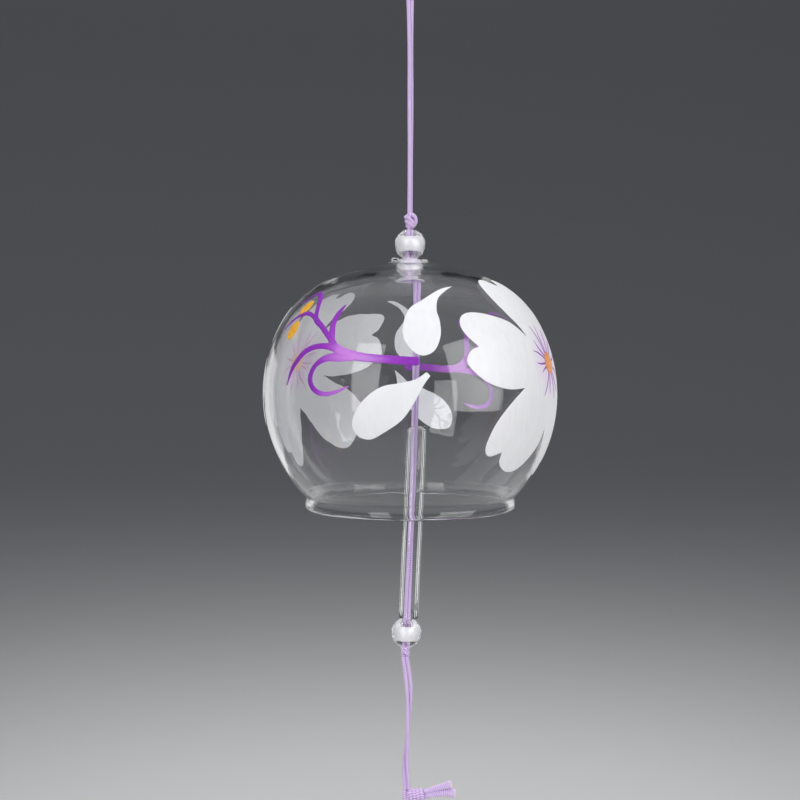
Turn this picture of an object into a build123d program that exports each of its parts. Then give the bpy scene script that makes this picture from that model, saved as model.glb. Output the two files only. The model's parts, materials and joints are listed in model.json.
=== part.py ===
from build123d import *

import os
from math import acos, atan2, cos, degrees, pi, radians, sin, tan

# A blown-glass wind bell on a doubled cord. A faceted bead sits on its crown, a glass tube
# hangs inside it as the clapper, and a paper strip below catches the wind.
# Lengths are in millimetres. The origin is the inside top of the hanging eye, where a hook
# bears. Z points up, the bell's axis is the Z axis, and X points to the right seen from the front.

# The cord, and the clearances between pieces that move on each other
cord_diameter = 1.0
strand_gap = 0.05
swing_gap = 0.3
bead_gap = 0.25
thread_gap = 0.175
fit_gap = 0.02

# The knots, each a height along its cord and a width across it
loop_knot_height = 3.4
loop_knot_width = 3.8
upper_knot_height = 4.1
upper_knot_width = 3.8
lower_knot_height = 2.4
lower_knot_width = 3.0
inner_knot_height = 1.45
inner_knot_radius = 2.1
inner_knot_shift = 0.3

# The hanging eye and the two strands under it
eye_height = 14.0
hanging_length = 57.5

# The two beads, each a clear faceted shell round a white core
bead_diameter = 8.1
bead_height = 7.8
bead_facets = 12
bead_height_shares = (-1.0, -0.78, -0.33, 0.33, 0.78, 1.0)
bead_radius_shares = (0.45, 0.75, 0.99, 0.99, 0.75, 0.45)
core_diameter = 5.4
core_height = 4.4

# The glass bell, whose outline follows the radius of its body
bell_radius = 40.0
bell_wall = 1.3
shoulder_angle = 30.0
shoulder_radius_share = 0.5125
shoulder_height_share = 0.7975
shoulder_wall = 1.55
cap_height_share = 0.895
crown_thickness = 2.2
crown_ring_height = 0.8
crown_ring_width = 1.6
crown_ring_dip_share = 0.35
neck_radius_share = 0.72
mouth_depth_share = 0.7775
lip_thickness = 1.8
lip_flare = 0.2
neck_wall = 1.4

# The clear stepped stopper that hangs the bell on the knot inside it
stopper_proud = 0.2
stopper_collar_radius = 2.6
stopper_collar_height = 1.6
stopper_body_radius = 3.3
stopper_flange_radius = 4.1
stopper_flange_thickness = 0.6
stopper_recess_radius = 2.7
stopper_recess_depth = 1.7
stopper_knot_drop = 0.15

# The clapper: two strands that leave the knot beside the bell's axis, and a glass tube on them
clapper_exit_x = 2.0
clapper_bend_x = 1.45
clapper_bend_drop = 42.0
clapper_end_x = -1.17
clapper_drop = 102.05
tube_diameter = 5.35
tube_bore = 3.7
tube_length = 53.0
tube_round = 0.25
tube_offset = 0.41
tube_slide_lean = 0.95

# The knot that ties the paper strip on, with its two cut ends
tie_collar_radius = 1.15
tie_height = 3.1
tie_turns = 4
tie_turn_width = 1.2
tie_ridge_radius = 1.75
tie_valley_radius = 1.4
upper_fray_shares = (1.0, 1.4, 1.6, 2.1)
lower_fray_shares = (1.0, 1.4, 1.7, 2.6)

# The paper strip
strip_width = 40.0
strip_length = 120.0
strip_thickness = 0.4
strip_hole_radius = 2.0
strip_bridge = 3.5
strip_corner = 1.5

cord_radius = cord_diameter / 2
strand_side = (cord_diameter + strand_gap) / 2
pair_half_width = strand_side + cord_radius
thread_radius = pair_half_width + thread_gap
knot_core_radius = pair_half_width + fit_gap

# Heights, worked out downward from the hook
throat_z = -eye_height
loop_knot_z = throat_z - cord_radius - swing_gap - loop_knot_height
tilt_z = loop_knot_z - hanging_length
upper_knot_z = tilt_z - cord_radius - swing_gap - upper_knot_height
upper_bead_z = upper_knot_z - swing_gap - fit_gap - bead_height / 2
stopper_top_z = upper_bead_z - bead_height / 2 - bead_gap
ring_top_z = stopper_top_z - stopper_proud
equator_z = ring_top_z - crown_ring_height - bell_radius * cap_height_share
crown_under_z = equator_z + bell_radius * cap_height_share - crown_thickness
flange_top_z = crown_under_z - stopper_proud
flange_z = flange_top_z - stopper_flange_thickness
inner_knot_top_z = flange_z + stopper_recess_depth - stopper_knot_drop
inner_knot_z = inner_knot_top_z - inner_knot_height
clapper_z = inner_knot_z - swing_gap - 2 * fit_gap - cord_radius

# The clapper's line, from its pivot to the top of the knot under the lower bead
clapper_run_x = clapper_bend_x - clapper_end_x
clapper_lean = degrees(atan2(clapper_run_x, clapper_drop - clapper_bend_drop))
clapper_up = Vector(sin(radians(clapper_lean)), 0, cos(radians(clapper_lean)))
clapper_pivot = Vector(clapper_exit_x, 0, clapper_z)
clapper_bend = Vector(clapper_bend_x, 0, clapper_z - clapper_bend_drop)
clapper_end = Vector(clapper_end_x, 0, clapper_z - clapper_drop)
lower_knot_base = clapper_end - clapper_up * lower_knot_height
lower_bead_centre = clapper_end + clapper_up * (bead_gap + bead_height / 2)
tube_base = clapper_end + clapper_up * (2 * bead_gap + bead_height) + Vector(tube_offset, 0, 0)
tail_pivot = lower_knot_base - clapper_up * (swing_gap + cord_radius)

# Routes of the free cords. The eye's is in the part's own frame, the tail strands start at the
# tail's pivot, the cut ends at the tie's right-hand end, and the strip's loop just inside the
# underside of the tie.
eye_route = [
    (-0.525, 0, -14.0),
    (-1.9, 0, -9.6),
    (-3.5, 0, -5.2),
    (-3.7, 0, -1.6),
    (-1.5, 0, 0.5),
    (1.6, 0, 0.5),
    (3.8, 0, -1.7),
    (3.4, 0, -5.3),
    (1.9, 0, -9.7),
    (0.525, 0, -14.0),
]
tail_left_route = [
    (-0.525, 0, 0),
    (0.26, -0.09, -6.0),
    (0.67, -0.36, -11.6),
    (0.71, -0.54, -17.1),
    (0.7, -0.55, -22.7),
    (0.5, -0.4, -28.4),
    (0.71, -0.1, -32.6),
    (0.975, 0, -36.3),
]
tail_right_route = [
    (0.525, 0, 0),
    (1.64, 0.09, -6.0),
    (1.53, 0.36, -11.6),
    (0.99, 0.54, -17.1),
    (0.5, 0.55, -22.7),
    (-0.3, 0.4, -28.4),
    (-0.41, 0.1, -32.6),
    (-0.075, 0, -36.3),
]
upper_end_route = [(0, 0, 0.65), (2.6, 0, 1.95), (4.7, -0.1, 2.55), (6.6, -0.1, 3.0)]
lower_end_route = [(0, 0, -0.6), (2.6, 0, 0.1), (5.0, 0.1, 0.35), (7.6, 0.2, 0.2)]
strip_loop_route = [
    (0, -0.55, 0.4),
    (-0.3, -1.7, -3.0),
    (-0.7, -3.0, -6.3),
    (-1.0, -3.15, -9.3),
    (-1.2, -1.45, -11.6),
    (-1.2, 1.45, -11.6),
    (-1.0, 3.15, -9.3),
    (-0.7, 3.0, -6.3),
    (-0.3, 1.7, -3.0),
    (0, 0.55, 0.4),
]

# What the routes carry: the tie under the tail, and the strip on the bottom of the loop
tail_left_end = tail_pivot + Vector(*tail_left_route[-1])
tail_right_end = tail_pivot + Vector(*tail_right_route[-1])
tie_top = (tail_left_end + tail_right_end) / 2 - Vector(0, 0, swing_gap)
tie_base = tie_top - Vector(0, 0, tie_height)
loop_bottom = tie_base + Vector(strip_loop_route[4][0], 0, strip_loop_route[4][2])
strip_hole_z = loop_bottom.Z + cord_radius + swing_gap - strip_hole_radius
strip_top_z = strip_hole_z + strip_hole_radius + strip_bridge


def corner_radii(points):
    """The radius of each corner's arc: 0.45 of its shorter run, over the tangent of half its turn."""
    radii = []
    for before, corner, after in zip(points, points[1:], points[2:]):
        first, second = Vector(*corner) - Vector(*before), Vector(*after) - Vector(*corner)
        half_turn = radians(first.get_angle(second)) / 2
        radii.append(0.45 * min(first.length, second.length) / tan(half_turn))
    return radii


def finish(part, name):
    """Labels a finished piece and writes it."""
    part.label = name
    export_step(part, f"parts/{name}.step")


def check_tube(name, part, route):
    """Prints a tube's bends, and its volume beside its section times its length."""
    bends = ", ".join(f"{radius:.1f}" for radius in corner_radii(route))
    with BuildLine() as line:
        FilletPolyline(*route, radius=corner_radii(route))
    length = sum(edge.length for edge in line.edges())
    section = pi * cord_radius**2
    print(f"{name}: length {length:.1f}, volume {part.volume:.2f} of {section * length:.2f}, radii {bends}")


os.makedirs("parts", exist_ok=True)

# The hanging eye, one length of cord that goes up round the hook and down again. Its ends are
# rounded, and the cord bends there.
with BuildPart() as hanging_loop:
    with BuildLine() as eye_line:
        FilletPolyline(*eye_route, radius=corner_radii(eye_route))
    with BuildSketch(Plane(origin=eye_line.line @ 0, z_dir=eye_line.line % 0)):
        Circle(cord_radius)
    sweep()
    with Locations(eye_line.line @ 0, eye_line.line @ 1):
        Sphere(cord_radius)
finish(hanging_loop.part, "hanging_loop")
check_tube("hanging_loop", hanging_loop.part, eye_route)

# The pulled-tight knots on the cord, each two turns of it round a straight core
lower_knot_plane = Plane(origin=lower_knot_base, x_dir=(0, 1, 0), z_dir=clapper_up)
knots = (
    ("loop_knot", Plane.XY.offset(loop_knot_z), loop_knot_height, loop_knot_width),
    ("upper_knot", Plane.XY.offset(upper_knot_z), upper_knot_height, upper_knot_width),
    ("lower_knot", lower_knot_plane, lower_knot_height, lower_knot_width),
)
turn_radius_share = 0.36
turn_side_share = 0.14
turn_high_share = 0.62
turn_low_share = 0.36
for knot_name, knot_plane, knot_height, knot_width in knots:
    with BuildPart(knot_plane) as knot:
        Cylinder(knot_core_radius, knot_height, align=(Align.CENTER, Align.CENTER, Align.MIN))
        with Locations(
            (-turn_side_share * knot_width, 0, turn_high_share * knot_height),
            (turn_side_share * knot_width, 0, turn_low_share * knot_height),
        ):
            Sphere(turn_radius_share * knot_width)
        Cylinder(
            knot_width,
            knot_height,
            align=(Align.CENTER, Align.CENTER, Align.MIN),
            mode=Mode.INTERSECT,
        )
    finish(knot.part, knot_name)

# The two straight strands between the loop's knot and the knot over the bell, rounded below
for side, name in ((-1, "hanging_strand_left"), (1, "hanging_strand_right")):
    with BuildPart() as hanging_strand:
        with BuildSketch(Plane(origin=(side * strand_side, 0, tilt_z))):
            Circle(cord_radius)
        extrude(amount=hanging_length)
        with Locations((side * strand_side, 0, tilt_z)):
            Sphere(cord_radius)
    finish(hanging_strand.part, name)

# The same two strands where they run through the bead and the stopper
with BuildPart() as crown_cord:
    with BuildSketch(Plane.XY.offset(inner_knot_top_z)):
        with Locations((-strand_side, 0), (strand_side, 0)):
            Circle(cord_radius)
    extrude(amount=upper_knot_z - inner_knot_top_z)
finish(crown_cord.part, "crown_cord")

# The hidden knot that carries the stopper
with BuildPart() as inner_knot:
    with BuildSketch(Plane(origin=(inner_knot_shift, 0, inner_knot_z))):
        Circle(inner_knot_radius)
    extrude(amount=inner_knot_height)
    fillet(inner_knot.edges().filter_by(GeomType.CIRCLE), radius=inner_knot_height / 3)
finish(inner_knot.part, "inner_knot")

# The beads. A core is a ball with flat ends, and a shell's cavity is its core with a hair of room.
bead_places = (
    ("upper_bead", Plane.XY.offset(upper_bead_z)),
    ("lower_bead", Plane(origin=lower_bead_centre, x_dir=(0, 1, 0), z_dir=clapper_up)),
)
for bead_name, bead_plane in bead_places:
    cores = []
    for room in (0, fit_gap):
        with BuildPart(bead_plane) as bead_core:
            Sphere(core_diameter / 2 + room)
            Cylinder(core_diameter, core_height + 2 * room, mode=Mode.INTERSECT)
            Cylinder(thread_radius, core_diameter, mode=Mode.SUBTRACT)
        cores.append(bead_core.part)
    with BuildPart() as bead_shell:
        for height_share, radius_share in zip(bead_height_shares, bead_radius_shares):
            with BuildSketch(bead_plane.offset(height_share * bead_height / 2)):
                RegularPolygon(radius_share * bead_diameter / 2, bead_facets)
        loft(ruled=True)
        with BuildSketch(bead_plane):
            Circle(thread_radius)
        extrude(amount=bead_height, both=True, mode=Mode.SUBTRACT)
        add(cores[1], mode=Mode.SUBTRACT)
    finish(bead_shell.part, f"{bead_name}_shell")
    finish(cores[0], f"{bead_name}_core")

# The bell, turned from one outline: body, shoulder, cap, raised crown ring, hole, the same
# stations back along the inside, and the rolled lip
bell_plane = Plane(origin=(0, 0, equator_z), x_dir=(1, 0, 0), z_dir=(0, -1, 0))
neck_radius = neck_radius_share * bell_radius
neck_angle = -degrees(acos(neck_radius_share))
shoulder_radius = shoulder_radius_share * bell_radius
shoulder_height = shoulder_height_share * bell_radius
cap_height = cap_height_share * bell_radius
mouth_depth = mouth_depth_share * bell_radius
inner_radius = bell_radius - bell_wall
inner_neck_angle = -degrees(acos((neck_radius - neck_wall) / inner_radius))
crown_hole_radius = stopper_body_radius + stopper_proud
lip_radius = lip_thickness / 2
lip_outer = neck_radius + lip_flare
lip_level = lip_radius - mouth_depth
with BuildPart() as glass_bell:
    with BuildSketch(bell_plane):
        with BuildLine():
            body = CenterArc((0, 0), bell_radius, neck_angle, shoulder_angle - neck_angle)
            shoulder = TangentArc(body @ 1, (shoulder_radius, shoulder_height), tangent=body % 1)
            cap_end = (crown_hole_radius + crown_ring_width, cap_height)
            cap = TangentArc(shoulder @ 1, cap_end, tangent=shoulder % 1)
            ring = ThreePointArc(
                cap @ 1,
                (crown_hole_radius + crown_ring_width / 2, cap_height + crown_ring_height),
                (crown_hole_radius, cap_height + crown_ring_dip_share * crown_ring_height),
            )
            hole = Line(ring @ 1, (crown_hole_radius, cap_height - crown_thickness))
            inner_turn = shoulder_angle - inner_neck_angle
            inner_body = CenterArc((0, 0), inner_radius, inner_neck_angle, inner_turn)
            inner_shoulder = TangentArc(
                inner_body @ 1,
                (shoulder_radius - shoulder_wall / 3, shoulder_height - shoulder_wall),
                tangent=inner_body % 1,
            )
            TangentArc(inner_shoulder @ 1, hole @ 1, tangent=inner_shoulder % 1)
            outer_collar = Line(body @ 0, (lip_outer, lip_level))
            lip = ThreePointArc(
                outer_collar @ 1,
                (lip_outer - lip_radius, -mouth_depth),
                (lip_outer - lip_thickness, lip_level),
            )
            Line(lip @ 1, inner_body @ 0)
        make_face()
    revolve(axis=Axis.Z)
finish(glass_bell.part, "glass_bell")

# The stopper, seen from the side as three steps, with the knot's recess in its underside
with BuildPart() as crown_stopper:
    with BuildSketch(Plane.XZ):
        with BuildLine():
            Polyline(
                (thread_radius, stopper_top_z),
                (stopper_collar_radius, stopper_top_z),
                (stopper_collar_radius, stopper_top_z - stopper_collar_height),
                (stopper_body_radius, stopper_top_z - stopper_collar_height),
                (stopper_body_radius, flange_top_z),
                (stopper_flange_radius, flange_top_z),
                (stopper_flange_radius, flange_z),
                (stopper_recess_radius, flange_z),
                (stopper_recess_radius, flange_z + stopper_recess_depth),
                (thread_radius, flange_z + stopper_recess_depth),
                close=True,
            )
        make_face()
    revolve(axis=Axis.Z)
finish(crown_stopper.part, "crown_stopper")

# The clapper's two strands, side by side from the pivot to the lower knot, rounded above
for side, name in ((-1, "clapper_strand_left"), (1, "clapper_strand_right")):
    shift = Vector(side * strand_side, 0, 0)
    clapper_route = [tuple(point + shift) for point in (clapper_pivot, clapper_bend, clapper_end)]
    with BuildPart() as clapper_strand:
        with BuildLine() as clapper_line:
            FilletPolyline(*clapper_route, radius=corner_radii(clapper_route))
        with BuildSketch(Plane(origin=clapper_line.line @ 0, z_dir=clapper_line.line % 0)):
            Circle(cord_radius)
        sweep()
        with Locations(clapper_line.line @ 0):
            Sphere(cord_radius)
        split(bisect_by=Plane(origin=clapper_end, z_dir=clapper_up), keep=Keep.TOP)
    finish(clapper_strand.part, name)
    check_tube(name, clapper_strand.part, clapper_route)

# The glass clapper tube, which stands on the lower bead and leans on the strands inside it
tube_plane = Plane(origin=tube_base, x_dir=(0, 1, 0), z_dir=clapper_up)
with BuildPart() as clapper_tube:
    with BuildSketch(tube_plane):
        Circle(tube_diameter / 2)
        Circle(tube_bore / 2, mode=Mode.SUBTRACT)
    extrude(amount=tube_length)
    fillet(clapper_tube.edges().filter_by(GeomType.CIRCLE), radius=tube_round)
finish(clapper_tube.part, "clapper_tube")

# The tail's two strands, which wind half a turn round each other, rounded above
for route, name in ((tail_left_route, "tail_strand_left"), (tail_right_route, "tail_strand_right")):
    tail_route = [tuple(tail_pivot + Vector(*point)) for point in route]
    with BuildPart() as tail_strand:
        with BuildLine() as tail_line:
            FilletPolyline(*tail_route, radius=corner_radii(tail_route))
        with BuildSketch(Plane(origin=tail_line.line @ 0, z_dir=tail_line.line % 0)):
            Circle(cord_radius)
        sweep()
        with Locations(tail_line.line @ 0):
            Sphere(cord_radius)
    finish(tail_strand.part, name)
    check_tube(name, tail_strand.part, tail_route)

# The tie: a collar where the strands come in, and turns of cord wound round to its right
tie_middle = tie_base + Vector(0, 0, tie_height / 2)
tie_plane = Plane(origin=tie_middle, x_dir=(1, 0, 0), z_dir=(0, -1, 0))
tie_length = tie_turns * tie_turn_width
with BuildPart() as strip_knot:
    with BuildSketch(tie_plane):
        with BuildLine():
            for turn in range(tie_turns):
                turn_x = tie_collar_radius / 2 + turn * tie_turn_width
                ThreePointArc(
                    (turn_x, tie_valley_radius),
                    (turn_x + tie_turn_width / 2, tie_ridge_radius),
                    (turn_x + tie_turn_width, tie_valley_radius),
                )
            tie_right = tie_collar_radius / 2 + tie_length
            Polyline(
                (tie_right, tie_valley_radius),
                (tie_right, 0),
                (tie_collar_radius / 2, 0),
                (tie_collar_radius / 2, tie_valley_radius),
            )
        make_face()
    revolve(axis=Axis(tie_plane.origin, (1, 0, 0)))
    with BuildSketch(Plane(origin=tie_base)):
        Circle(tie_collar_radius)
    extrude(amount=tie_height)
finish(strip_knot.part, "strip_knot")

# The cut ends, which leave the tie's right-hand end and fray wider towards their tips
tie_end = tie_plane.origin + Vector(tie_right, 0, 0)
cut_ends = (
    ("cut_end_upper", upper_end_route, upper_fray_shares),
    ("cut_end_lower", lower_end_route, lower_fray_shares),
)
for name, route, fray_shares in cut_ends:
    centres = [tie_end + Vector(*place) for place in route]
    aims = [Vector(1, 0, 0)] + [
        (after - before).normalized() for before, after in zip(centres, centres[2:] + centres[-1:])
    ]
    with BuildPart() as cut_end:
        for centre, aim, fray_share in zip(centres, aims, fray_shares):
            with BuildSketch(Plane(origin=centre, x_dir=(0, 1, 0), z_dir=aim)):
                Circle(fray_share * cord_radius)
        loft()
    finish(cut_end.part, name)

# The loop under the tie, which passes through the strip's hole
strip_loop_points = [tuple(tie_base + Vector(*point)) for point in strip_loop_route]
with BuildPart() as strip_loop:
    with BuildLine() as strip_loop_line:
        FilletPolyline(*strip_loop_points, radius=corner_radii(strip_loop_points))
    with BuildSketch(Plane(origin=strip_loop_line.line @ 0, z_dir=strip_loop_line.line % 0)):
        Circle(cord_radius)
    sweep()
    split(bisect_by=Plane(origin=tie_base), keep=Keep.BOTTOM)
finish(strip_loop.part, "strip_loop")
check_tube("strip_loop", strip_loop.part, strip_loop_points)

# The paper strip, hung by its hole
strip_plane = Plane(origin=(loop_bottom.X, 0, strip_top_z), x_dir=(1, 0, 0), z_dir=(0, -1, 0))
with BuildPart() as paper_strip:
    with BuildSketch(strip_plane):
        with Locations((0, -strip_length / 2)):
            RectangleRounded(strip_width, strip_length, strip_corner)
        with Locations((0, strip_hole_z - strip_top_z)):
            Circle(strip_hole_radius, mode=Mode.SUBTRACT)
    extrude(amount=strip_thickness / 2, both=True)
finish(paper_strip.part, "paper_strip")

# Places that the joints, the openings and the mount use. The tube slides up along the strands
# until its top is a cord's width under their pivot.
tube_slide = Vector(sin(radians(tube_slide_lean)), 0, cos(radians(tube_slide_lean)))
tube_top = tube_base + clapper_up * tube_length
tube_lift = (clapper_z - cord_diameter - tube_top.Z) / tube_slide.Z
print(f"throat {throat_z:.3f}, tilt {tilt_z:.3f}")
print(f"equator {equator_z:.3f}, lip {equator_z - mouth_depth:.3f}")
print(f"clapper pivot {clapper_pivot}, lean {clapper_lean:.3f}, lower bead {lower_bead_centre}")
print(f"tube slides {tube_lift:.2f} along {tube_slide}")
print(f"tail pivot {tail_pivot}, tie top {tie_top}, loop bottom {loop_bottom}")
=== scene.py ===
import json
import math
import random

import bpy
import numpy as np
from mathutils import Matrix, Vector, noise
from mathutils.geometry import delaunay_2d_cdt


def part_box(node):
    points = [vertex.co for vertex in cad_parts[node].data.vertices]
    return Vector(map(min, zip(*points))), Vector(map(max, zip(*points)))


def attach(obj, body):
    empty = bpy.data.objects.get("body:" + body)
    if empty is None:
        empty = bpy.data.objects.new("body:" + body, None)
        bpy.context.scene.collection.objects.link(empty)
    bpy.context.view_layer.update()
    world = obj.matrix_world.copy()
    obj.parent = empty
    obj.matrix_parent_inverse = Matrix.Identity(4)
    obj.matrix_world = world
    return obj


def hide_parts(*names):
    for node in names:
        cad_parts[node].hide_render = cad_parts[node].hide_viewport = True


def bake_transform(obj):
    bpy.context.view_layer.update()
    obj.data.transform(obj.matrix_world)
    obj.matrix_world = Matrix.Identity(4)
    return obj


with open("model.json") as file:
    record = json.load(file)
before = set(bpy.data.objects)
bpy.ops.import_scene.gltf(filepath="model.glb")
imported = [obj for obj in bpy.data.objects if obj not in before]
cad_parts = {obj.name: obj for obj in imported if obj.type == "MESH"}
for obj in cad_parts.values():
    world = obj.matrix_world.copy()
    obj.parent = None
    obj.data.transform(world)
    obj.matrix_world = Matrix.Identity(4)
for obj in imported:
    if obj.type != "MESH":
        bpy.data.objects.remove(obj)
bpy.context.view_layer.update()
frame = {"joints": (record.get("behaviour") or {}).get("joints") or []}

# A blown-glass wind bell on a doubled lilac cord. Lengths in the tables below are in
# millimetres, and MM turns them into the scene's metres. X points right, Y away, Z up.
MM = 0.001
UP = Vector((0, 0, 1))
joints = {joint["name"]: joint for joint in frame["joints"]}


def joint_place(name):
    """A joint's place in metres."""
    return Vector(joints[name]["pos_m"])


# Places that the frame gives
equator_z = joint_place("bell_turn").z
tilt_pivot = joint_place("bell_tilt")
clapper_pivot = joint_place("clapper_swing")
tail_pivot = joint_place("tail_swing")
tie_top = joint_place("strip_turn")
lower_bead_centre = joint_place("lower_bead_turn")
upper_bead_centre = joint_place("upper_bead_turn")
clapper_up = Vector(joints["lower_bead_turn"]["axis"]).normalized()

# Camera, at the photograph's distance and angle
camera_place = (-2.74, -300.0)
camera_over_equator = 8.0
camera_pitch = 1.83
camera_lens = 49.185


def srgb(red, green, blue):
    """A colour written in 0 to 255, as linear values."""
    shares = (red / 255, green / 255, blue / 255)
    return tuple(c / 12.92 if c <= 0.04045 else ((c + 0.055) / 1.055) ** 2.4 for c in shares)


def make_camera():
    data = bpy.data.cameras.new("camera")
    data.lens = camera_lens
    data.sensor_width = 36
    data.clip_start = 0.01
    camera = bpy.data.objects.new("camera", data)
    bpy.context.scene.collection.objects.link(camera)
    x, y = camera_place
    camera.location = (x * MM, y * MM, equator_z + camera_over_equator * MM)
    camera.rotation_euler = (math.radians(90 - camera_pitch), 0, 0)
    bpy.context.scene.camera = camera


# Meshes. A part of a mesh is its points in metres, its faces, and named values for each point.


def joined(name, parts, smooth=True):
    """Parts as one linked mesh object."""
    points, faces, values = [], [], {}
    for part_points, part_faces, part_values in parts:
        start = len(points)
        points.extend(tuple(p) for p in part_points)
        faces.extend(tuple(i + start for i in face) for face in part_faces)
        for key, numbers in part_values.items():
            values.setdefault(key, []).extend(numbers)
    mesh = bpy.data.meshes.new(name)
    mesh.from_pydata(points, [], faces)
    for key, numbers in values.items():
        layer = mesh.attributes.new(key, "FLOAT", "POINT")
        layer.data.foreach_set("value", np.asarray(numbers, np.float32))
    mesh.polygons.foreach_set("use_smooth", [smooth] * len(mesh.polygons))
    mesh.validate()
    mesh.update()
    made = bpy.data.objects.new(name, mesh)
    bpy.context.scene.collection.objects.link(made)
    return made


def dressed(name, parts, material, body=None, node=None, smooth=True):
    """A piece with its material, on its body and in place of its CAD node."""
    made = joined(name, parts, smooth)
    made.data.materials.append(materials[material])
    if node:
        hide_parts(node)
    if body:
        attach(made, body)
    return made


def quads_between(low, high, sides):
    """Quads between two rings of points, given by the numbers of their first points."""
    return [(low + j, low + (j + 1) % sides, high + (j + 1) % sides, high + j) for j in range(sides)]


def ring_faces(rings, sides, closed=False):
    """Quads between rings that each have this many points."""
    faces = []
    for i in range(rings if closed else rings - 1):
        faces += quads_between(i * sides, (i + 1) % rings * sides, sides)
    return faces


def ring(centre, aim, radius, height, count, start=0.0):
    """A ring's points round an aim, its radius and height in mm, begun a share of a step on."""
    side = aim.orthogonal().normalized()
    back = aim.cross(side)
    points = []
    for j in range(count):
        turn = 2 * math.pi * (j + start) / count
        out = side * math.cos(turn) * radius + back * math.sin(turn) * radius
        points.append(centre + (out + aim * height) * MM)
    return points


def lathe(rows, segments, place, up):
    """A part: a closed outline of (radius, height) in mm turned about an axis."""
    points = [p for radius, height in rows for p in ring(place, up, radius, height, segments)]
    return points, ring_faces(len(rows), segments, closed=True), {}


def two_skins(triangles, size):
    """Faces of a sheet: one skin, the other a size further on, and the band round their borders."""
    used = dict.fromkeys((t[k], t[(k + 1) % 3]) for t in triangles for k in range(3))
    faces = [tuple(t) for t in triangles] + [tuple(i + size for i in reversed(t)) for t in triangles]
    return faces + [(b, a, a + size, b + size) for a, b in used if (b, a) not in used]


def spokes(centre, radius, angles):
    """Flat points round a centre, at angles in radians."""
    return [(centre[0] + radius * math.cos(a), centre[1] + radius * math.sin(a)) for a in angles]


def metres(points, origin=(0, 0, 0)):
    """Points in mm from an origin in metres, as metres."""
    return [Vector(origin) + Vector(p) * MM for p in points]


def route_line(points):
    """The points of the smooth line that has these control points, in metres."""
    curve = bpy.data.curves.new("route", "CURVE")
    curve.dimensions = "3D"
    curve.resolution_u = 24
    spline = curve.splines.new("NURBS")
    spline.points.add(len(points) - 1)
    for control, place in zip(spline.points, points):
        control.co = (*place, 1)
    spline.order_u = 3
    spline.use_endpoint_u = True
    holder = bpy.data.objects.new("route", curve)
    mesh = bpy.data.meshes.new_from_object(holder)
    line = np.array([v.co for v in mesh.vertices], float)
    bpy.data.meshes.remove(mesh)
    bpy.data.objects.remove(holder)
    bpy.data.curves.remove(curve)
    return line


def evenly(line, step):
    """A line's points, a step apart, and each one's distance along it."""
    line = np.asarray(line, float)
    runs = np.linalg.norm(np.diff(line, axis=0), axis=1)
    along = np.concatenate([[0], np.cumsum(runs)])
    at = np.linspace(0, along[-1], max(3, int(round(along[-1] / step)) + 1))
    return np.stack([np.interp(at, along, line[:, k]) for k in range(3)], axis=1), at


def side_axes(line):
    """At each point of a line, two directions square to it that don't twist."""
    aims = np.gradient(line, axis=0)
    aims /= np.linalg.norm(aims, axis=1)[:, None]
    first = np.cross(aims[0], (0.0, 1.0, 0.0))
    if np.linalg.norm(first) < 0.2:
        first = np.cross(aims[0], (1.0, 0.0, 0.0))
    sides = [first / np.linalg.norm(first)]
    for aim in aims[1:]:
        side = sides[-1] - aim * np.dot(sides[-1], aim)
        sides.append(side / np.linalg.norm(side))
    return np.array(sides), np.cross(aims, np.array(sides))


# The cord's braid: its pitch, its columns of ribs, how far a rib leans over its column, and how fast the
# columns turn in radians for each mm. Its radius goes from braid_low in the grooves up by braid_rise.
cord_diameter = 1.0
braid_pitch = 0.5
braid_columns = 4
braid_lean = 0.24
braid_turn = 0.09
braid_low = 0.985
braid_rise = 0.085
braid_sides = 16
braid_step = 0.09


def braid(along, angle):
    """Height of the braid's surface at a distance in mm and an angle: 0 in its grooves, 1 on its ribs."""
    column = (angle + braid_turn * along) * braid_columns / (2 * np.pi)
    across = 2 * (column - np.floor(column)) - 1
    lean = np.where(np.floor(column) % 2 < 1, braid_lean, -braid_lean)
    rib = 0.5 + 0.5 * np.cos(2 * np.pi * (along / braid_pitch + lean * across))
    return rib * (1 - 0.4 * np.abs(across) ** 3)


def cord_tube(line, radius=cord_diameter / 2, ends=(True, True), scale=None, turn=0.0):
    """A part: braided cord along a line in metres. scale gives the radius's share at each share of the
    length, and a rounded end is drawn in over one radius."""
    line, along = evenly(line, braid_step * MM)
    along = along / MM
    sides, backs = side_axes(line)
    angles = np.linspace(0, 2 * np.pi, braid_sides, endpoint=False)
    height = braid(along[:, None], angles[None, :] + turn)
    shares = np.ones(len(along)) if scale is None else scale(along / along[-1])
    radii = radius * shares[:, None] * (braid_low + braid_rise * height)
    for rounded, distance in zip(ends, (along, along[-1] - along)):
        if rounded:
            near = np.clip(distance / radius, 0.02, 1)
            radii *= np.sqrt(1 - (1 - near) ** 2)[:, None]
    out = np.cos(angles)[:, None] * sides[:, None, :] + np.sin(angles)[:, None] * backs[:, None, :]
    points = (line[:, None, :] + radii[:, :, None] * MM * out).reshape(-1, 3)
    faces = ring_faces(len(line), braid_sides)
    faces.append(tuple(range(braid_sides - 1, -1, -1)))
    faces.append(tuple(range(len(points) - braid_sides, len(points))))
    # The rib heights also go to the cord's shader, which uses them to paint shade in the grooves and
    # highlights on the ribs.
    return points, faces, {"rib": height.ravel()}


def routed(points, origin, radius=cord_diameter / 2, **values):
    """A part: cord along the smooth line of points in mm from an origin."""
    return cord_tube(route_line(metres(points, origin)), radius, **values)


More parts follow.
